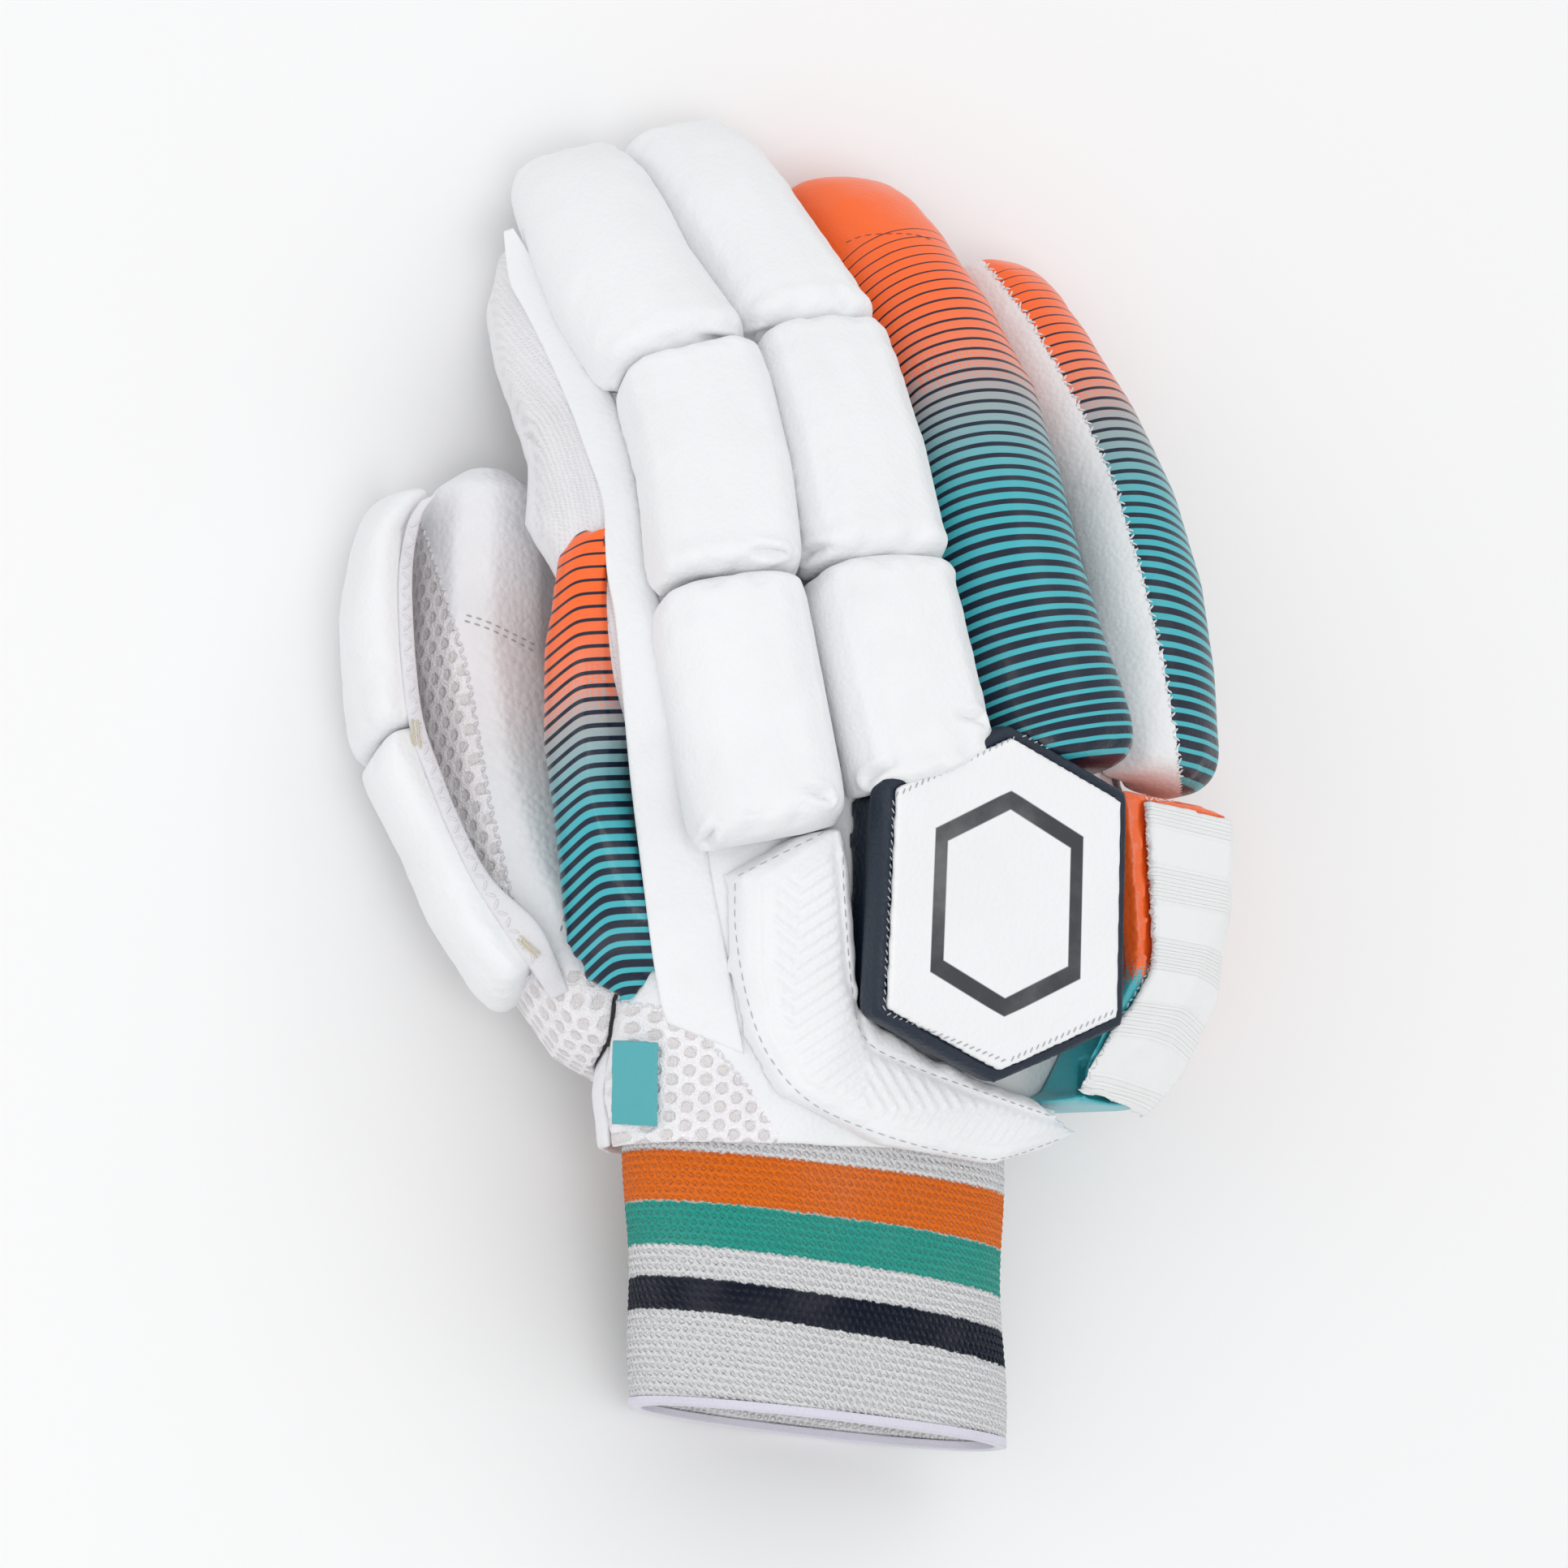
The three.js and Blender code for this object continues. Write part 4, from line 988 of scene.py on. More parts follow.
def reshape(piece, rows, weight=1.0):
    """Moves a soft piece across the view. Each row has a height, left and right edge, and the wanted ones."""
    points = spots(piece)
    x, y, deep = pixels_of(points)
    table = np.array(rows, float)
    left, right, new_y, new_left, new_right = (np.interp(y, table[:, 0], table[:, i]) for i in range(1, 6))
    share = np.clip((x - left) / (right - left), -0.25, 1.25)
    beyond = x - (left + share * (right - left))
    step_x = new_left + share * (new_right - new_left) + beyond - x
    step_y = np.interp(y, table[:, 0], table[:, 3] - table[:, 0])
    scale = (PIXEL * deep / VIEW_DISTANCE)[:, None]
    steps = (step_x[:, None] * VIEW_RIGHT - step_y[:, None] * VIEW_UP) * scale
    points = points + steps * np.reshape(weight, (-1, 1))
    points[:, 2] = np.maximum(points[:, 2], 0.0)
    move(piece, points)


def second_material(piece, material, chosen, least=-0.35):
    """Gives the faces whose middle shows at chosen photo pixels another material"""
    piece.data.materials.append(material)
    middles = np.array([polygon.center[:] for polygon in piece.data.polygons]) / MM
    x, y, _ = pixels_of(middles)
    facing = np.array([polygon.normal[:] for polygon in piece.data.polygons]) @ VIEW_BACK
    index = (chosen(x, y) & (facing > least)).astype(np.int32)
    piece.data.polygons.foreach_set("material_index", index)
    piece.data.update()


def right_of(path):
    """A test for pixels to the right of a line that runs down the photo"""
    path = np.array(path, float)
    return lambda x, y: x > np.interp(y, path[:, 1], path[:, 0])


def line_on(tree, pixels, step=1.5):
    """A run of points and normals on a piece under a line of photo pixels"""
    pixels = np.array(pixels, float)
    count = max(2, int(np.linalg.norm(np.diff(pixels, axis=0), axis=1).sum() / (step / PIXEL)))
    found = [seen(tree, pixel) for pixel in resampled(pixels, count)]
    found = [pair for pair in found if pair[0] is not None]
    return np.array([p for p, _ in found]), np.array([n for _, n in found])


def one_stitch():
    """A stitch 1 mm long and thick, which runs along x"""
    deselect()
    bpy.ops.mesh.primitive_uv_sphere_add(segments=6, ring_count=5, radius=0.5, rotation=(0, math.pi / 2, 0))
    stitch = bpy.context.object
    bpy.ops.object.transform_apply(location=True, rotation=True, scale=True)
    points = np.array([v.co[:] for v in stitch.data.vertices])
    faces = [list(f.vertices) for f in stitch.data.polygons]
    bpy.data.objects.remove(stitch)
    return points, faces


STITCH_POINTS, STITCH_FACES = one_stitch()


def stitches(rows, length, gap, thick, turn=0.0, zigzag=0.0, lift=0.2):
    """Points and faces of the stitches along some rows of points and normals, in millimetres"""
    points, faces = [], []
    for places, ups in rows:
        run = run_of(places)
        count = int(run[-1] / (length + gap))
        for i in range(count):
            at = (i + 0.5) * (length + gap)
            behind, middle, ahead = column_mix((at - 0.6, at, at + 0.6), run, places)
            up = unit(column_mix(at, run, ups))
            along = unit(ahead - behind)
            side = unit(np.cross(up, along))
            angle = turn + (zigzag if i % 2 else -zigzag)
            heading = along * math.cos(angle) + side * math.sin(angle)
            across = np.cross(up, heading)
            shape = STITCH_POINTS * (length, thick, thick)
            made = middle + up * lift * thick + shape @ np.array([heading, across, up])
            faces.extend([[v + len(points) * len(STITCH_POINTS) for v in face] for face in STITCH_FACES])
            points.append(made)
    return np.concatenate(points), faces


def sewn(name, rows, material, slot, **sizes):
    """A piece made of stitches"""
    rows = [row for row in rows if len(row[0]) > 2]
    points, faces = stitches(rows, **sizes)
    mesh = bpy.data.meshes.new(name)
    mesh.from_pydata([Vector(p * MM) for p in points], [], faces)
    piece = bpy.data.objects.new(name, mesh)
    bpy.context.scene.collection.objects.link(piece)
    return finish_piece(piece, material)


# Finger pads: crowned leather over foam, sewn down at the seat

pads = {}
RIM_REACH = 3.6
END_LIFT, SIDE_LIFT = 0.3, 0.12  # as shares of a pad's height


def squarer(piece, lane):
    """Lifts the rims of a pad, so that its top runs almost level to tight seams"""
    points = spots(piece)
    lay = lanes[lane].lay(points)
    low = np.percentile(lay[:, 2], 2)
    tall = np.maximum(lay[:, 2] - low, 0)
    first, last = np.percentile(lay[:, 0], (0.2, 99.8))
    left, right = np.percentile(lay[:, 1], (0.5, 99.5))
    to_end = np.minimum(lay[:, 0] - first, last - lay[:, 0])
    to_side = np.minimum(lay[:, 1] - left, right - lay[:, 1])
    rims = END_LIFT * np.exp(-((to_end / RIM_REACH) ** 2)) + SIDE_LIFT * np.exp(-((to_side / RIM_REACH) ** 2))
    stations = np.clip(np.round(lay[:, 0] / lanes[lane].step).astype(int), 0, 89)
    move(piece, points + lanes[lane].up[stations] * (tall * rims)[:, None])


LITTLE_ROLL = ["little_roll", "little_side_strip"]
PAD_VOXEL = 1.5


def stuffed(node, lane):
    """A pad or roll along a digit, blown up a little and held at its seat"""
    whole = LITTLE_ROLL if node == "little_roll" else node
    piece = remeshed(whole, node + "_leather", PAD_VOXEL, 6 if "roll" in node else 2)
    if "pad" in node and lane != "thumb":
        squarer(piece, lane)
    lay = lanes[lane].lay(spots(piece))
    low = np.percentile(lay[:, 2], 2)
    inflate(piece, lay[:, 2] < low + 2.0)
    subdivide(piece)
    pads[node] = piece
    return piece


for digit, node in (
    ("index", "index_proximal_pad"),
    ("index", "index_middle_pad"),
    ("index", "index_distal_pad"),
    ("middle", "middle_proximal_pad"),
    ("middle", "middle_middle_pad"),
    ("middle", "middle_distal_pad"),
    ("thumb", "thumb_proximal_pad"),
    ("thumb", "thumb_distal_pad"),
    ("ring", "ring_roll"),
    ("little", "little_roll"),
    ("side", "side_roll"),
):
    stuffed(node, digit)

LITTLE_SEAM = [
    (1190, 300), (1215, 325), (1270, 395), (1330, 500), (1375, 600), (1405, 700), (1430, 800), (1448, 900),
    (1455, 960), (1456, 1010),
]

# Pinched tucks where the leather is gathered at the corners of a pad: photo pixels from the corner inwards

TUCKS = {
    "index_distal_pad": [[(762, 490), (770, 476), (780, 458)], [(896, 422), (878, 418), (858, 416)]],
    "index_middle_pad": [[(820, 764), (832, 750), (846, 736)], [(962, 684), (944, 680), (926, 678)]],
    "index_proximal_pad": [[(1020, 980), (1002, 974), (986, 970)], [(868, 1042), (876, 1026), (884, 1010)]],
    "middle_distal_pad": [[(922, 420), (938, 412), (956, 406)], [(1080, 430), (1064, 424), (1048, 420)]],
    "middle_middle_pad": [[(990, 684), (1006, 678), (1026, 674)], [(1164, 706), (1148, 700), (1130, 696)]],
    "middle_proximal_pad": [[(1068, 960), (1084, 948), (1102, 938)], [(1210, 886), (1196, 882), (1180, 880)]],
}
for node, tucks in TUCKS.items():
    for tuck in tucks:
        places, _ = line_on(tree_of([pads[node]]), tuck, 0.7)
        if len(places) > 1:
            tuck_in(pads[node], places)

# The thumb's pads are narrow, and the side roll is blunt at its gathered end. Each row has a height and two
# edges in photo pixels, now and wanted.

RESHAPED = {
    "thumb_distal_pad": [
        (600, 470, 567, 600, 462, 529), (651, 448, 575, 651, 441, 500), (763, 430, 578, 763, 419, 501),
        (875, 435, 588, 878, 426, 513), (927, 452, 590, 932, 441, 522),
    ],
    "thumb_proximal_pad": [
        (904, 447, 597, 904, 441, 517), (956, 449, 603, 956, 446, 532), (1060, 478, 623, 1060, 499, 584),
        (1135, 512, 649, 1135, 538, 628), (1187, 526, 660, 1187, 570, 662), (1250, 560, 680, 1246, 606, 696),
    ],
    "ring_roll": [
        (200, 1000, 1180, 200, 1000, 1180), (500, 1120, 1279, 500, 1120, 1285),
        (700, 1180, 1335, 700, 1180, 1345), (849, 1210, 1368, 849, 1210, 1386),
        (909, 1225, 1383, 905, 1222, 1396), (980, 1235, 1390, 968, 1232, 1398),
    ],
    "little_roll": [
        (320, 1195, 1262, 310, 1182, 1248), (381, 1215, 1340, 381, 1195, 1314),
        (433, 1235, 1381, 433, 1214, 1353), (500, 1260, 1424, 500, 1242, 1398),
        (552, 1275, 1450, 552, 1260, 1428), (619, 1290, 1477, 619, 1280, 1458),
        (693, 1310, 1490, 693, 1303, 1479), (760, 1330, 1497, 760, 1327, 1493),
        (830, 1350, 1502, 830, 1350, 1503), (960, 1380, 1502, 960, 1380, 1505),
    ],
    "side_roll": [
        (640, 712, 746, 640, 712, 748), (689, 689, 752, 689, 690, 755), (763, 670, 761, 763, 676, 762),
        (837, 668, 774, 837, 671, 769), (912, 671, 790, 912, 671, 779), (956, 679, 816, 956, 677, 784),
        (1000, 685, 813, 1002, 682, 790), (1060, 700, 802, 1066, 692, 799), (1135, 720, 783, 1148, 706, 812),
        (1194, 742, 774, 1212, 726, 822), (1205, 745, 774, 1224, 736, 822),
        (1213, 750, 774, 1230, 744, 820), (1225, 754, 774, 1233, 750, 816),
    ],
}
for node, rows in RESHAPED.items():
    reshape(pads[node], rows)
_, row, _ = pixels_of(spots(pads["side_roll"]))
forward = 2.4 + 2.8 * ramp(row, 1120, 1200)
move(pads["side_roll"], spots(pads["side_roll"]) + forward[:, None] * VIEW_BACK)

for node, piece in pads.items():
    above_table(piece)
    if "roll" not in node:
        finish_piece(piece, white_leather, node)

for node, lane, material in (
    ("ring_roll", "ring", ring_print),
    ("little_roll", "little", little_print),
    ("side_roll", "side", side_print),
):
    piece = pads[node]
    lay = lanes[lane].lay(spots(piece))
    down = lay[:, 0].max() - lay[:, 0]
    if lane == "side":
        x, y, _ = pixels_of(spots(piece))
        ridge = np.interp(y, (640, 700, 840, 1000, 1240), (728, 708, 712, 724, 766))
        off = np.clip(ridge - x, -60, 60)
        down = (y - 645) * 0.175 - 0.075 * (np.sqrt(off**2 + 140) + off) + 0.9
    set_lay(piece, np.stack([down, lay[:, 1], lay[:, 2]], 1))
    finish_piece(piece, material, LITTLE_ROLL if lane == "little" else node)
    if lane == "little":
        second_material(piece, white_leather, lambda x, y: ~right_of(LITTLE_SEAM)(x, y), -2)

# The hexagonal block, its face and the stitches round the face

hex_wall = remeshed("hex_block", "hex_block_leather", 0.9, 7)
finish_piece(hex_wall, navy_leather, "hex_block")
hex_face = remeshed("hex_face", "hex_face_leather", 0.7, 2)
lay = flats["hexagon"].lay(spots(hex_face))
set_lay(hex_face, lay)
finish_piece(hex_face, face_leather, "hex_face")


HEX_EDGE = [
    (938, 1119, 1380, 909, 1104, 1386), (1007, 1119, 1380, 980, 1104, 1386),
    (1231, 1108, 1368, 1242, 1093, 1381), (1290, 1108, 1368, 1305, 1093, 1381),
]
for piece in (hex_wall, hex_face):
    reshape(piece, HEX_EDGE, ramp(flats["hexagon"].lay(spots(piece))[:, 2], 1, 9))

# The wing and its ribbed face

wing_wall_piece = remeshed("wing_block", "wing_block_leather", 0.9, 9)
finish_piece(wing_wall_piece, wall_leather, "wing_block")
wing_face = remeshed("wing_face", "wing_face_leather", 0.7, 3)
set_lay(wing_face, flats["wing"].lay(spots(wing_face)))
finish_piece(wing_face, pearl_leather, "wing_face")

# The wing's top edge lies nearer to the hexagon than its foot

WING_EDGE = [
    (960, 1440, 1490, 960, 1404, 1490), (990, 1443, 1500, 990, 1408, 1502),
    (1080, 1448, 1508, 1080, 1413, 1510), (1170, 1453, 1508, 1166, 1418, 1510),
    (1265, 1425, 1490, 1250, 1378, 1486), (1350, 1387, 1450, 1334, 1334, 1440),
    (1392, 1362, 1425, 1362, 1306, 1420),
]
FACE_EDGE = [
    (960, 1404, 1502, 958, 1408, 1505), (1100, 1404, 1510, 1100, 1416, 1512),
    (1176, 1403, 1508, 1176, 1417, 1508), (1203, 1385, 1505, 1203, 1412, 1505),
    (1240, 1368, 1495, 1240, 1398, 1498), (1290, 1348, 1470, 1290, 1363, 1475),
    (1345, 1339, 1445, 1345, 1319, 1448), (1385, 1350, 1425, 1372, 1325, 1422),
]
WALL_FOOT = [
    (1345, 1310, 1440, 1345, 1310, 1440), (1372, 1310, 1430, 1362, 1310, 1430),
    (1420, 1310, 1430, 1377, 1312, 1424),
]
for piece in (wing_wall_piece, wing_face):
    raised = flats["wing"].lay(spots(piece))[:, 2]
    reshape(piece, WING_EDGE, ramp(raised, 1, 9))
    reshape(piece, FACE_EDGE, ramp(raised, 1, 9))
reshape(wing_wall_piece, WALL_FOOT)
x, y, _ = pixels_of(spots(wing_wall_piece))
corner = ramp(x, 1326, 1334) * (1 - ramp(x, 1370, 1385)) * ramp(y, 1300, 1315) * (1 - ramp(y, 1352, 1362))
CORNER_PUSH = 3.2  # keeps the wall's lower corner behind the face
FACE_RISE = 0.7
move(wing_wall_piece, spots(wing_wall_piece) - (CORNER_PUSH * corner)[:, None] * VIEW_BACK)
move(wing_face, spots(wing_face) + FACE_RISE * flats["wing"].axes[2])

# The wrist panel with pressed chevrons inside a stitched line

panel = remeshed("wrist_panel", "wrist_panel_leather", 1.15, 3)
subdivide(panel)
lay = flats["panel"].lay(spots(panel))
out = normals(panel)
facing = out @ flats["panel"].axes[2]
PANEL_OUTLINE = PANEL_WIDTH * np.array([
    (-0.57, 0.29), (-0.56, 0.04), (-0.52, -0.12), (-0.43, -0.26), (-0.15, -0.38), (0.18, -0.42),
    (0.54, -0.36), (0.55, -0.3), (0.1, -0.2), (-0.2, -0.1), (-0.27, 0.05), (-0.32, 0.42), (-0.34, 0.46),
    (-0.57, 0.29),
])


def outline_distance(x, y, outline):
    """Distance of flat points to an outline"""
    flat_points = np.stack([x, y, np.zeros_like(x)], 1)
    path = np.array([(a, b, 0.0) for a, b in outline])
    return distance_to(flat_points, path)


edge = outline_distance(lay[:, 0], lay[:, 1], PANEL_OUTLINE)
arm = ramp(lay[:, 0], -26, -12)
fold = np.where(arm > 0.5, np.abs(lay[:, 1] + 22 - (lay[:, 0] * 0.04)), np.abs(lay[:, 0] + 35))
run = np.where(arm > 0.5, lay[:, 0], -lay[:, 1])
wave = np.sin(2 * math.pi * (run + fold * 0.75) / 3.0)
relief = 0.4 * np.clip(wave + 0.2, 0, 1) * ramp(edge, 4.2, 5.4) * ramp(facing, 0.3, 0.7)
groove = -0.45 * np.exp(-(((edge - 3.3) / 0.7) ** 2)) * ramp(facing, 0.3, 0.7)
move(panel, spots(panel) + out * (relief + groove)[:, None])
finish_piece(panel, panel_leather, "wrist_panel")

# Stalls and the hand


SHOWN_VOXEL = 1.15
HIDDEN_VOXEL = 1.4
STALL_SMOOTHING = 6


def shell(node, name, material, voxel, smoothing, lane=None):
    """A smoothed copy of a leather or knitted shell"""
    piece = remeshed(node, name, voxel, smoothing)
    above_table(piece)
    points = spots(piece)
    set_lay(piece, lanes[lane].lay(points) if lane else points)
    return finish_piece(piece, material, node)


def stall(digit, knit):
    """A finger's stall in one piece: leather at the palm and knit at the back"""
    both = [digit + "_stall_back", digit + "_stall_front"]
    voxel = SHOWN_VOXEL if digit in ("index", "thumb") else HIDDEN_VOXEL
    piece = shell(both, digit + "_stall_knit", knit, voxel, STALL_SMOOTHING, digit)
    middles = [polygon.center / MM for polygon in piece.data.polygons]
    trees = [tree_of([nodes[node]]) for node in both]
    away = [[tree.find_nearest(middle)[3] for middle in middles] for tree in trees]
    piece.data.materials.append(soft_leather)
    nearer_front = np.array(away[1]) < np.array(away[0])
    piece.data.polygons.foreach_set("material_index", nearer_front.astype(np.int32))
    return piece


for digit in ("index", "middle", "ring", "little", "thumb"):
    stall(digit, thumb_mesh if digit == "thumb" else finger_knit)
shell("palm_leather", "palm_piece", soft_leather, HIDDEN_VOXEL, 3)
shell("hand_back", "hand_back_leather", white_leather, 1.2, 4)

# The index finger's knitted side stands out past the pads

KNIT_SIDE = [
    (330, 613, 700, 330, 611, 700), (349, 613, 705, 349, 611, 705), (452, 658, 745, 452, 628, 745),
    (563, 699, 760, 563, 652, 760), (646, 727, 775, 646, 672, 775), (750, 750, 800, 750, 722, 800),
    (900, 790, 850, 900, 770, 850),
]
index_knit = bpy.data.objects["index_stall_knit"]
reshape(index_knit, KNIT_SIDE)
set_lay(index_knit, lanes["index"].lay(spots(index_knit)))

# Leather over part of the thumb's mesh, and mesh at the wrist's thumb side

thumb_back = bpy.data.objects["thumb_stall_knit"]
hand_back = bpy.data.objects["hand_back_leather"]
THUMB_SEAM = [
    (508, 600), (517, 637), (555, 755), (577, 837), (603, 986), (640, 1135), (677, 1209), (690, 1240),
]
thumb_palm = np.empty(len(thumb_back.data.polygons), np.int32)
thumb_back.data.polygons.foreach_get("material_index", thumb_palm)
middles = np.array([polygon.center[:] for polygon in thumb_back.data.polygons]) / MM
x, y, _ = pixels_of(middles)
covered = right_of(THUMB_SEAM)(x, y) & (y < 1195)
bared = ~right_of(THUMB_SEAM)(x, y) & (x > 500) & (thumb_palm == 1) & (middles[:, 2] > 12)
thumb_palm[covered] = 1
thumb_palm[bared] = 0
thumb_back.data.polygons.foreach_set("material_index", thumb_palm)
MESH_TOP = [(690, 1190), (760, 1235), (826, 1246), (880, 1290), (925, 1345), (960, 1400)]


def below_mesh_top(x, y):
    line = np.array(MESH_TOP, float)
    return (y > np.interp(x, line[:, 0], line[:, 1])) & (x < 960)


second_material(hand_back, thumb_mesh, below_mesh_top)

# A strip of white leather between the index finger's padding, its knitted side and the side roll

STRIP_LEFT = [
    (620, 284), (626, 345), (646, 384), (670, 432), (700, 500), (722, 560), (742, 620), (746, 700),
    (756, 760), (764, 840), (775, 960), (790, 1080), (803, 1180), (814, 1240), (822, 1262),
]
STRIP_RIGHT = [
    (632, 280), (660, 322), (700, 386), (730, 446), (762, 500), (780, 560), (790, 620), (802, 700),
    (820, 760), (842, 840), (860, 960), (878, 1080), (898, 1180), (908, 1240), (918, 1300),
]


def grid(name, columns, rows):
    """A flat grid, and where its points lie from corner to corner"""
    deselect()
    bpy.ops.mesh.primitive_grid_add(x_subdivisions=columns, y_subdivisions=rows, size=1)
    piece = bpy.context.object
    piece.name = piece.data.name = name
    return piece, np.array([v.co[:2] for v in piece.data.vertices]) + 0.5


STRIP_THICKNESS = 1.2


def laid_strip(name, left, right, carriers, rows, columns, bow, lift):
    """A taut strip of leather between two lines of pixels, laid on other pieces"""
    carrier = tree_of(carriers)
    left = resampled(left, rows + 1)
    right = resampled(right, rows + 1)
    depth = np.full((rows + 1, columns + 1), np.nan)
    pixel = np.zeros((rows + 1, columns + 1, 2))
    for i in range(rows + 1):
        for j in range(columns + 1):
            pixel[i, j] = left[i] + (right[i] - left[i]) * j / columns
            spot, _ = seen(carrier, pixel[i, j])
            if spot is not None:
                depth[i, j] = -(spot - EYE) @ VIEW_BACK
    for j in range(columns + 1):
        known = ~np.isnan(depth[:, j])
        depth[:, j] = np.interp(np.arange(rows + 1), np.where(known)[0], depth[known, j])
    under = depth.copy()
    for _ in range(160):
        padded = np.pad(depth, ((1, 1), (1, 1)), mode="edge")
        average = (padded[:-2, 1:-1] + padded[2:, 1:-1] + padded[1:-1, :-2] + padded[1:-1, 2:]) / 4
        depth = np.minimum(average, under)
    crown = bow * np.sin(np.pi * np.linspace(0, 1, columns + 1)) ** 0.7
    ends = ramp(np.arange(rows + 1), 0, 8) * (1 - ramp(np.arange(rows + 1), rows - 8, rows))
    depth = depth - lift - crown[None, :] * ends[:, None]
    piece, flat = grid(name, columns, rows)
    j = np.clip(np.round(flat[:, 0] * columns).astype(int), 0, columns)
    i = rows - np.clip(np.round(flat[:, 1] * rows).astype(int), 0, rows)
    offset = (pixel[i, j] - HALF_PHOTO) * PIXEL / VIEW_DISTANCE
    ray = -VIEW_BACK + offset[:, :1] * VIEW_RIGHT - offset[:, 1:] * VIEW_UP
    move(piece, EYE + ray * depth[i, j][:, None])
    take(piece)
    thickness = piece.modifiers.new("Wall", "SOLIDIFY")
    thickness.thickness = STRIP_THICKNESS * MM
    thickness.offset = -1
    apply(piece, thickness)
    subdivide(piece)
    return piece


strip = laid_strip(
    "index_side_strip_leather", STRIP_LEFT, STRIP_RIGHT,
    [bpy.data.objects["index_stall_knit"], hand_back, pads["side_roll"]], 110, 12, 0.9, 0.4,
)
finish_piece(strip, white_leather)

# Cuff: a tube of looped knit with an overlocked hem

WRIST = Section(0)
CUFF_AHEAD = np.array((-math.tan(math.radians(CUFF_TURN)), 1, math.tan(math.radians(CUFF_SLOPE))))
CUFF_SQUARENESS = 2.2
CUFF_COLUMNS, HEM_COLUMNS = 390, 480
KNIT_RUN, HEM_RUN = 65.0, 66.9  # down the cuff from its top edge
CUFF_TOP = WRIST.middle + (CUFF_ASIDE, 0, 0)
CUFF_START = CUFF_TOP + CUFF_TUCK * CUFF_AHEAD
CUFF_END = CUFF_TOP - CUFF_LENGTH * CUFF_AHEAD


def cuff_ring(length, angle, grow):
    """A point of the cuff's wall"""
    total = np.linalg.norm(CUFF_END - CUFF_START)
    c, s = np.cos(angle), np.sin(angle)
    swell = 1 + 0.012 * np.sin(math.pi * 3 * length / total)
    w = (CUFF_WIDTH / 2 * swell + grow) * np.sign(c) * np.abs(c) ** (2 / CUFF_SQUARENESS)
    h = (CUFF_HEIGHT / 2 + grow) * np.sign(s) * np.abs(s) ** (2 / CUFF_SQUARENESS)
    middle = CUFF_START + (CUFF_END - CUFF_START) * (length / total)[..., None]
    points = middle + w[..., None] * WRIST.side + h[..., None] * WRIST.up
    points[..., 1] -= w * math.tan(math.radians(CUFF_SKEW)) * length / total
    return points


def cuff_tube(name, profile, columns, relief):
    """A closed tube from a profile of (length, grow) pairs, with relief(around, along) added to it"""
    rows = len(profile)
    piece, flat = grid(name, columns, rows)
    row = np.clip(flat[:, 1], 0, 1) * (rows - 1)
    # equal steps of length round the ring
    angles = np.linspace(0, 2 * math.pi, 2000)
    ring = cuff_ring(np.zeros(2000), angles, np.zeros(2000))
    run = run_of(ring)
    around = flat[:, 0] * run[-1]
    angle = np.interp(around, run, angles)
    steps = np.arange(rows)
    length = np.interp(row, steps, [p[0] for p in profile])
    grow = np.interp(row, steps, [p[1] for p in profile])
    travelled = np.concatenate([[0], np.cumsum([math.dist(a, b) for a, b in zip(profile[:-1], profile[1:])])])
    along = np.interp(row, steps, travelled)
    grow = grow + relief(around, length, along) * np.where(grow > -0.5, 1, 0)
    points = cuff_ring(length, angle, grow)
    points[:, 2] = np.maximum(points[:, 2], 0.02)
    move(piece, points)
    slant = 0.066 * (CUFF_WIDTH / 2 * (np.cos(angle) + 1)) - 5.1
    set_lay(piece, np.stack([around, length - slant, grow], 1))
    take(piece)
    bpy.ops.object.mode_set(mode="EDIT")
    bpy.ops.mesh.select_all(action="SELECT")
    bpy.ops.mesh.remove_doubles(threshold=1e-5)
    bpy.ops.mesh.normals_make_consistent(inside=False)
    bpy.ops.object.mode_set(mode="OBJECT")
    return piece


def closed_profile(start, end, outer, inner, rows):
    """Down the outside, round the end, up the inside and back round"""
    down = [(start + (end - start) * i / rows, outer) for i in range(rows + 1)]
    turn = [(end + 0.25, outer * 0.5 + inner * 0.5)]
    back = [(end - (end - start) * i / 12, inner) for i in range(13)]
    return down + turn + back + [(start, outer)]


def towel_relief(around, length, along):
    """Slanted loops with a broad unevenness"""
    slant = np.sin(2 * math.pi * (around + 0.5 * length) / 1.7)
    row = np.sin(2 * math.pi * length / 1.7)
    broad = 0.18 * np.sin(around / 13.0 + length / 9.0) * np.sin(around / 21.0 + 1.0)
    return 0.26 * slant * row + broad


cuff = cuff_tube("cuff_knit", closed_profile(0, KNIT_RUN, -0.1, -KNIT, 120), CUFF_COLUMNS, towel_relief)
finish_piece(cuff, cuff_knit, "cuff")


def hem_relief(around, length, along):
    """Overlocked threads wound over the edge"""
    return 0.2 * np.abs(np.sin(math.pi * (around + 0.4 * along) / 1.3)) - 0.1


hem_profile = closed_profile(KNIT_RUN + 0.1, HEM_RUN, 0.3, -KNIT + 0.1, 6)
hem = cuff_tube("cuff_hem_binding", hem_profile, HEM_COLUMNS, hem_relief)
finish_piece(hem, lilac_thread, "cuff_hem")

# The label tab

label = remeshed("label_tab", "label_tab_tape", 0.42, 2)
set_lay(label, flats["label"].lay(spots(label)))
finish_piece(label, label_tape, "label_tab")

# The overlocked binding between the thumb's pads and its mesh

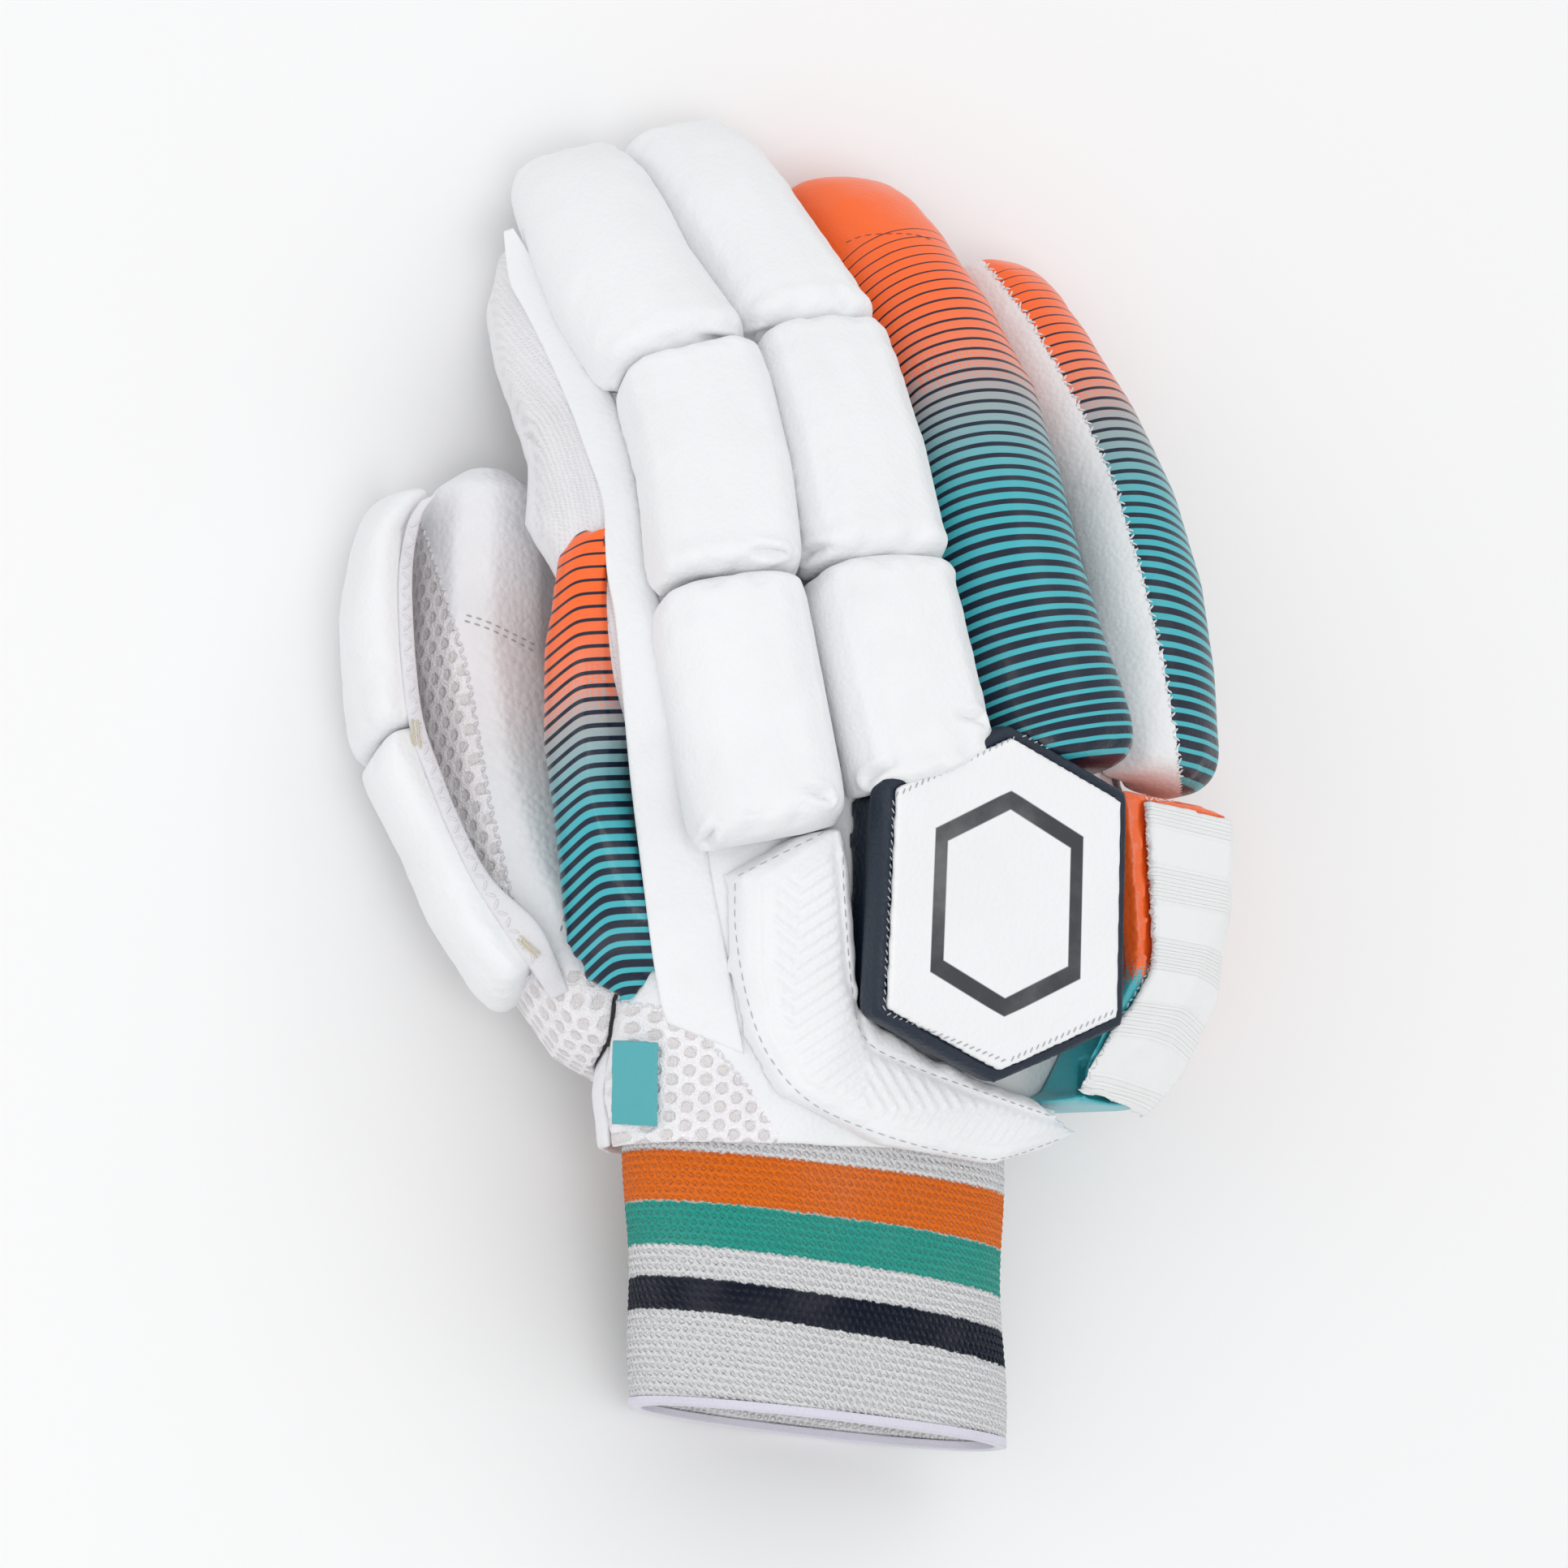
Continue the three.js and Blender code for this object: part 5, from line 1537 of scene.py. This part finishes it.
TRIM = [
    (530, 612), (512, 640), (501, 700), (502, 780), (509, 860), (518, 905), (536, 955), (560, 1015),
    (594, 1085), (632, 1145), (664, 1192), (690, 1228),
]
TRIM_INNER = [
    (539, 608), (521, 636), (510, 696), (511, 776), (518, 856), (527, 901), (545, 951), (569, 1011),
    (606, 1080), (664, 1136), (688, 1184), (702, 1222),
]
binding = laid_strip(
    "thumb_edge_binding", [(x - 11, y + 4) for x, y in TRIM], TRIM_INNER,
    [thumb_back, pads["thumb_distal_pad"], pads["thumb_proximal_pad"]], 140, 6, 0.7, 0.1,
)
finish_piece(binding, white_thread)

# Seams: lines of stitches along photo pixels

HEX_CORNERS = [(1258, 905), (1389, 974), (1384, 1241), (1240, 1308), (1089, 1247), (1101, 981), (1258, 905)]
SEAMS = (
    ("hex_face_stitches", ["hex_face_leather", "hex_block_leather"], grey_thread,
     [[a, b] for a, b in zip(HEX_CORNERS[:-1], HEX_CORNERS[1:])],
     dict(length=1.35, gap=0.25, thick=0.34, turn=0.7)),
    ("ring_tip_stitches", ["ring_roll_leather"], brown_thread,
     [[(1040, 300), (1062, 291), (1090, 288), (1125, 289), (1150, 296)]],
     dict(length=1.5, gap=0.7, thick=0.22)),
    ("little_seam_stitches", ["little_roll_leather"], white_thread,
     [LITTLE_SEAM[1:-1]],
     dict(length=1.7, gap=0.0, thick=0.5, zigzag=0.9)),
    ("thumb_mesh_seam", ["thumb_stall_knit"], white_thread,
     [THUMB_SEAM[1:-1]], dict(length=1.5, gap=0.1, thick=0.75, zigzag=0.7)),
    ("thumb_edge_stitches", ["thumb_edge_binding"], white_thread, [TRIM[1:-1]],
     dict(length=2.2, gap=0.0, thick=0.6, zigzag=0.8)),
    ("thumb_leather_seam", ["thumb_stall_knit"], grey_thread,
     [[(572, 757), (600, 766), (640, 785), (668, 800)], [(570, 764), (600, 774), (638, 792), (664, 806)],
      [(690, 1150), (698, 1122), (712, 1098)]],
     dict(length=1.3, gap=0.8, thick=0.4)),
    ("thumb_tacks", ["thumb_distal_pad_leather", "thumb_proximal_pad_leather", "thumb_edge_binding"],
     cream_thread,
     [[(508, 888), (512, 922)], [(514, 888), (518, 922)],
      [(638, 1158), (662, 1180)], [(642, 1154), (666, 1176)]],
     dict(length=0.5, gap=0.15, thick=1.2, turn=1.5)),
    ("panel_stitches", ["wrist_panel_leather"], grey_thread,
     [[(906, 1085), (907, 1150), (922, 1235), (950, 1305), (1005, 1362), (1100, 1402),
       (1190, 1424), (1240, 1426), (1330, 1394)],
      [(908, 1080), (1000, 1034), (1034, 1022), (1040, 1100), (1050, 1220), (1066, 1280), (1120, 1312),
       (1200, 1342), (1326, 1386)]],
     dict(length=1.7, gap=0.9, thick=0.26)),
    ("wrist_mesh_seam", ["hand_back_leather"], white_thread, [MESH_TOP[1:-1]],
     dict(length=1.4, gap=0.1, thick=0.6, zigzag=0.6)),
    ("wing_face_stitches", ["wing_face_leather", "wing_block_leather"], white_thread,
     [[(1412, 988), (1416, 1080), (1421, 1176), (1380, 1255), (1333, 1343)],
      [(1410, 984), (1450, 988), (1500, 996)]],
     dict(length=1.4, gap=0.1, thick=0.4, zigzag=0.7)),
)
for name, carriers, material, lines, sizes in SEAMS:
    carrier = tree_of([bpy.data.objects[carrier] for carrier in carriers])
    sewn(name, [line_on(carrier, line, 1.0) for line in lines], material, "white_leather", **sizes)

# The floor, the light and the camera

deselect()
bpy.ops.mesh.primitive_plane_add(size=6, location=(0, 0, -0.0002))
floor = bpy.context.object
floor.name = "floor"
pale, tree, shader, _ = start_material("pale floor", 0.9)
shader.inputs["Base Color"].default_value = (0.9, 0.9, 0.9, 1)
floor.data.materials.append(pale)


def lamp(name, place, size, power, tint=(1, 1, 1)):
    """A soft area light that faces the glove. Millimetres and watts."""
    data = bpy.data.lights.new(name, "AREA")
    data.shape = "RECTANGLE"
    data.size, data.size_y = size[0] * MM, size[1] * MM
    data.energy = power
    data.color = tint
    made = bpy.data.objects.new(name, data)
    bpy.context.scene.collection.objects.link(made)
    made.location = Vector(place) * MM
    made.rotation_mode = "QUATERNION"
    made.rotation_quaternion = (Vector((0, -5, 40)) - Vector(place)).to_track_quat("-Z", "Y")


lamp("key light", (-200, -350, 1300), (700, 500), 2.9)
lamp("side light", (-1000, 100, 700), (300, 900), 1.2)
lamp("far light", (500, 700, 900), (700, 500), 0.8)

world = bpy.data.worlds.new("studio")
bpy.context.scene.world = world
world.use_nodes = True
sky = world.node_tree.nodes["Background"]
sky.inputs["Color"].default_value = (0.985, 0.99, 1.0, 1)
sky.inputs["Strength"].default_value = 0.85

camera_data = bpy.data.cameras.new("camera")
camera_data.sensor_width = SENSOR
camera_data.lens = SENSOR * VIEW_DISTANCE / (2 * HALF_PHOTO * PIXEL)
camera_data.clip_end = 20
camera = bpy.data.objects.new("camera", camera_data)
bpy.context.scene.collection.objects.link(camera)
turned = Matrix([Vector(VIEW_RIGHT), Vector(VIEW_UP), Vector(VIEW_BACK)]).transposed().to_4x4()
camera.matrix_world = Matrix.Translation(Vector(EYE * MM)) @ turned
bpy.context.scene.camera = camera
bpy.context.scene.view_settings.view_transform = "Standard"
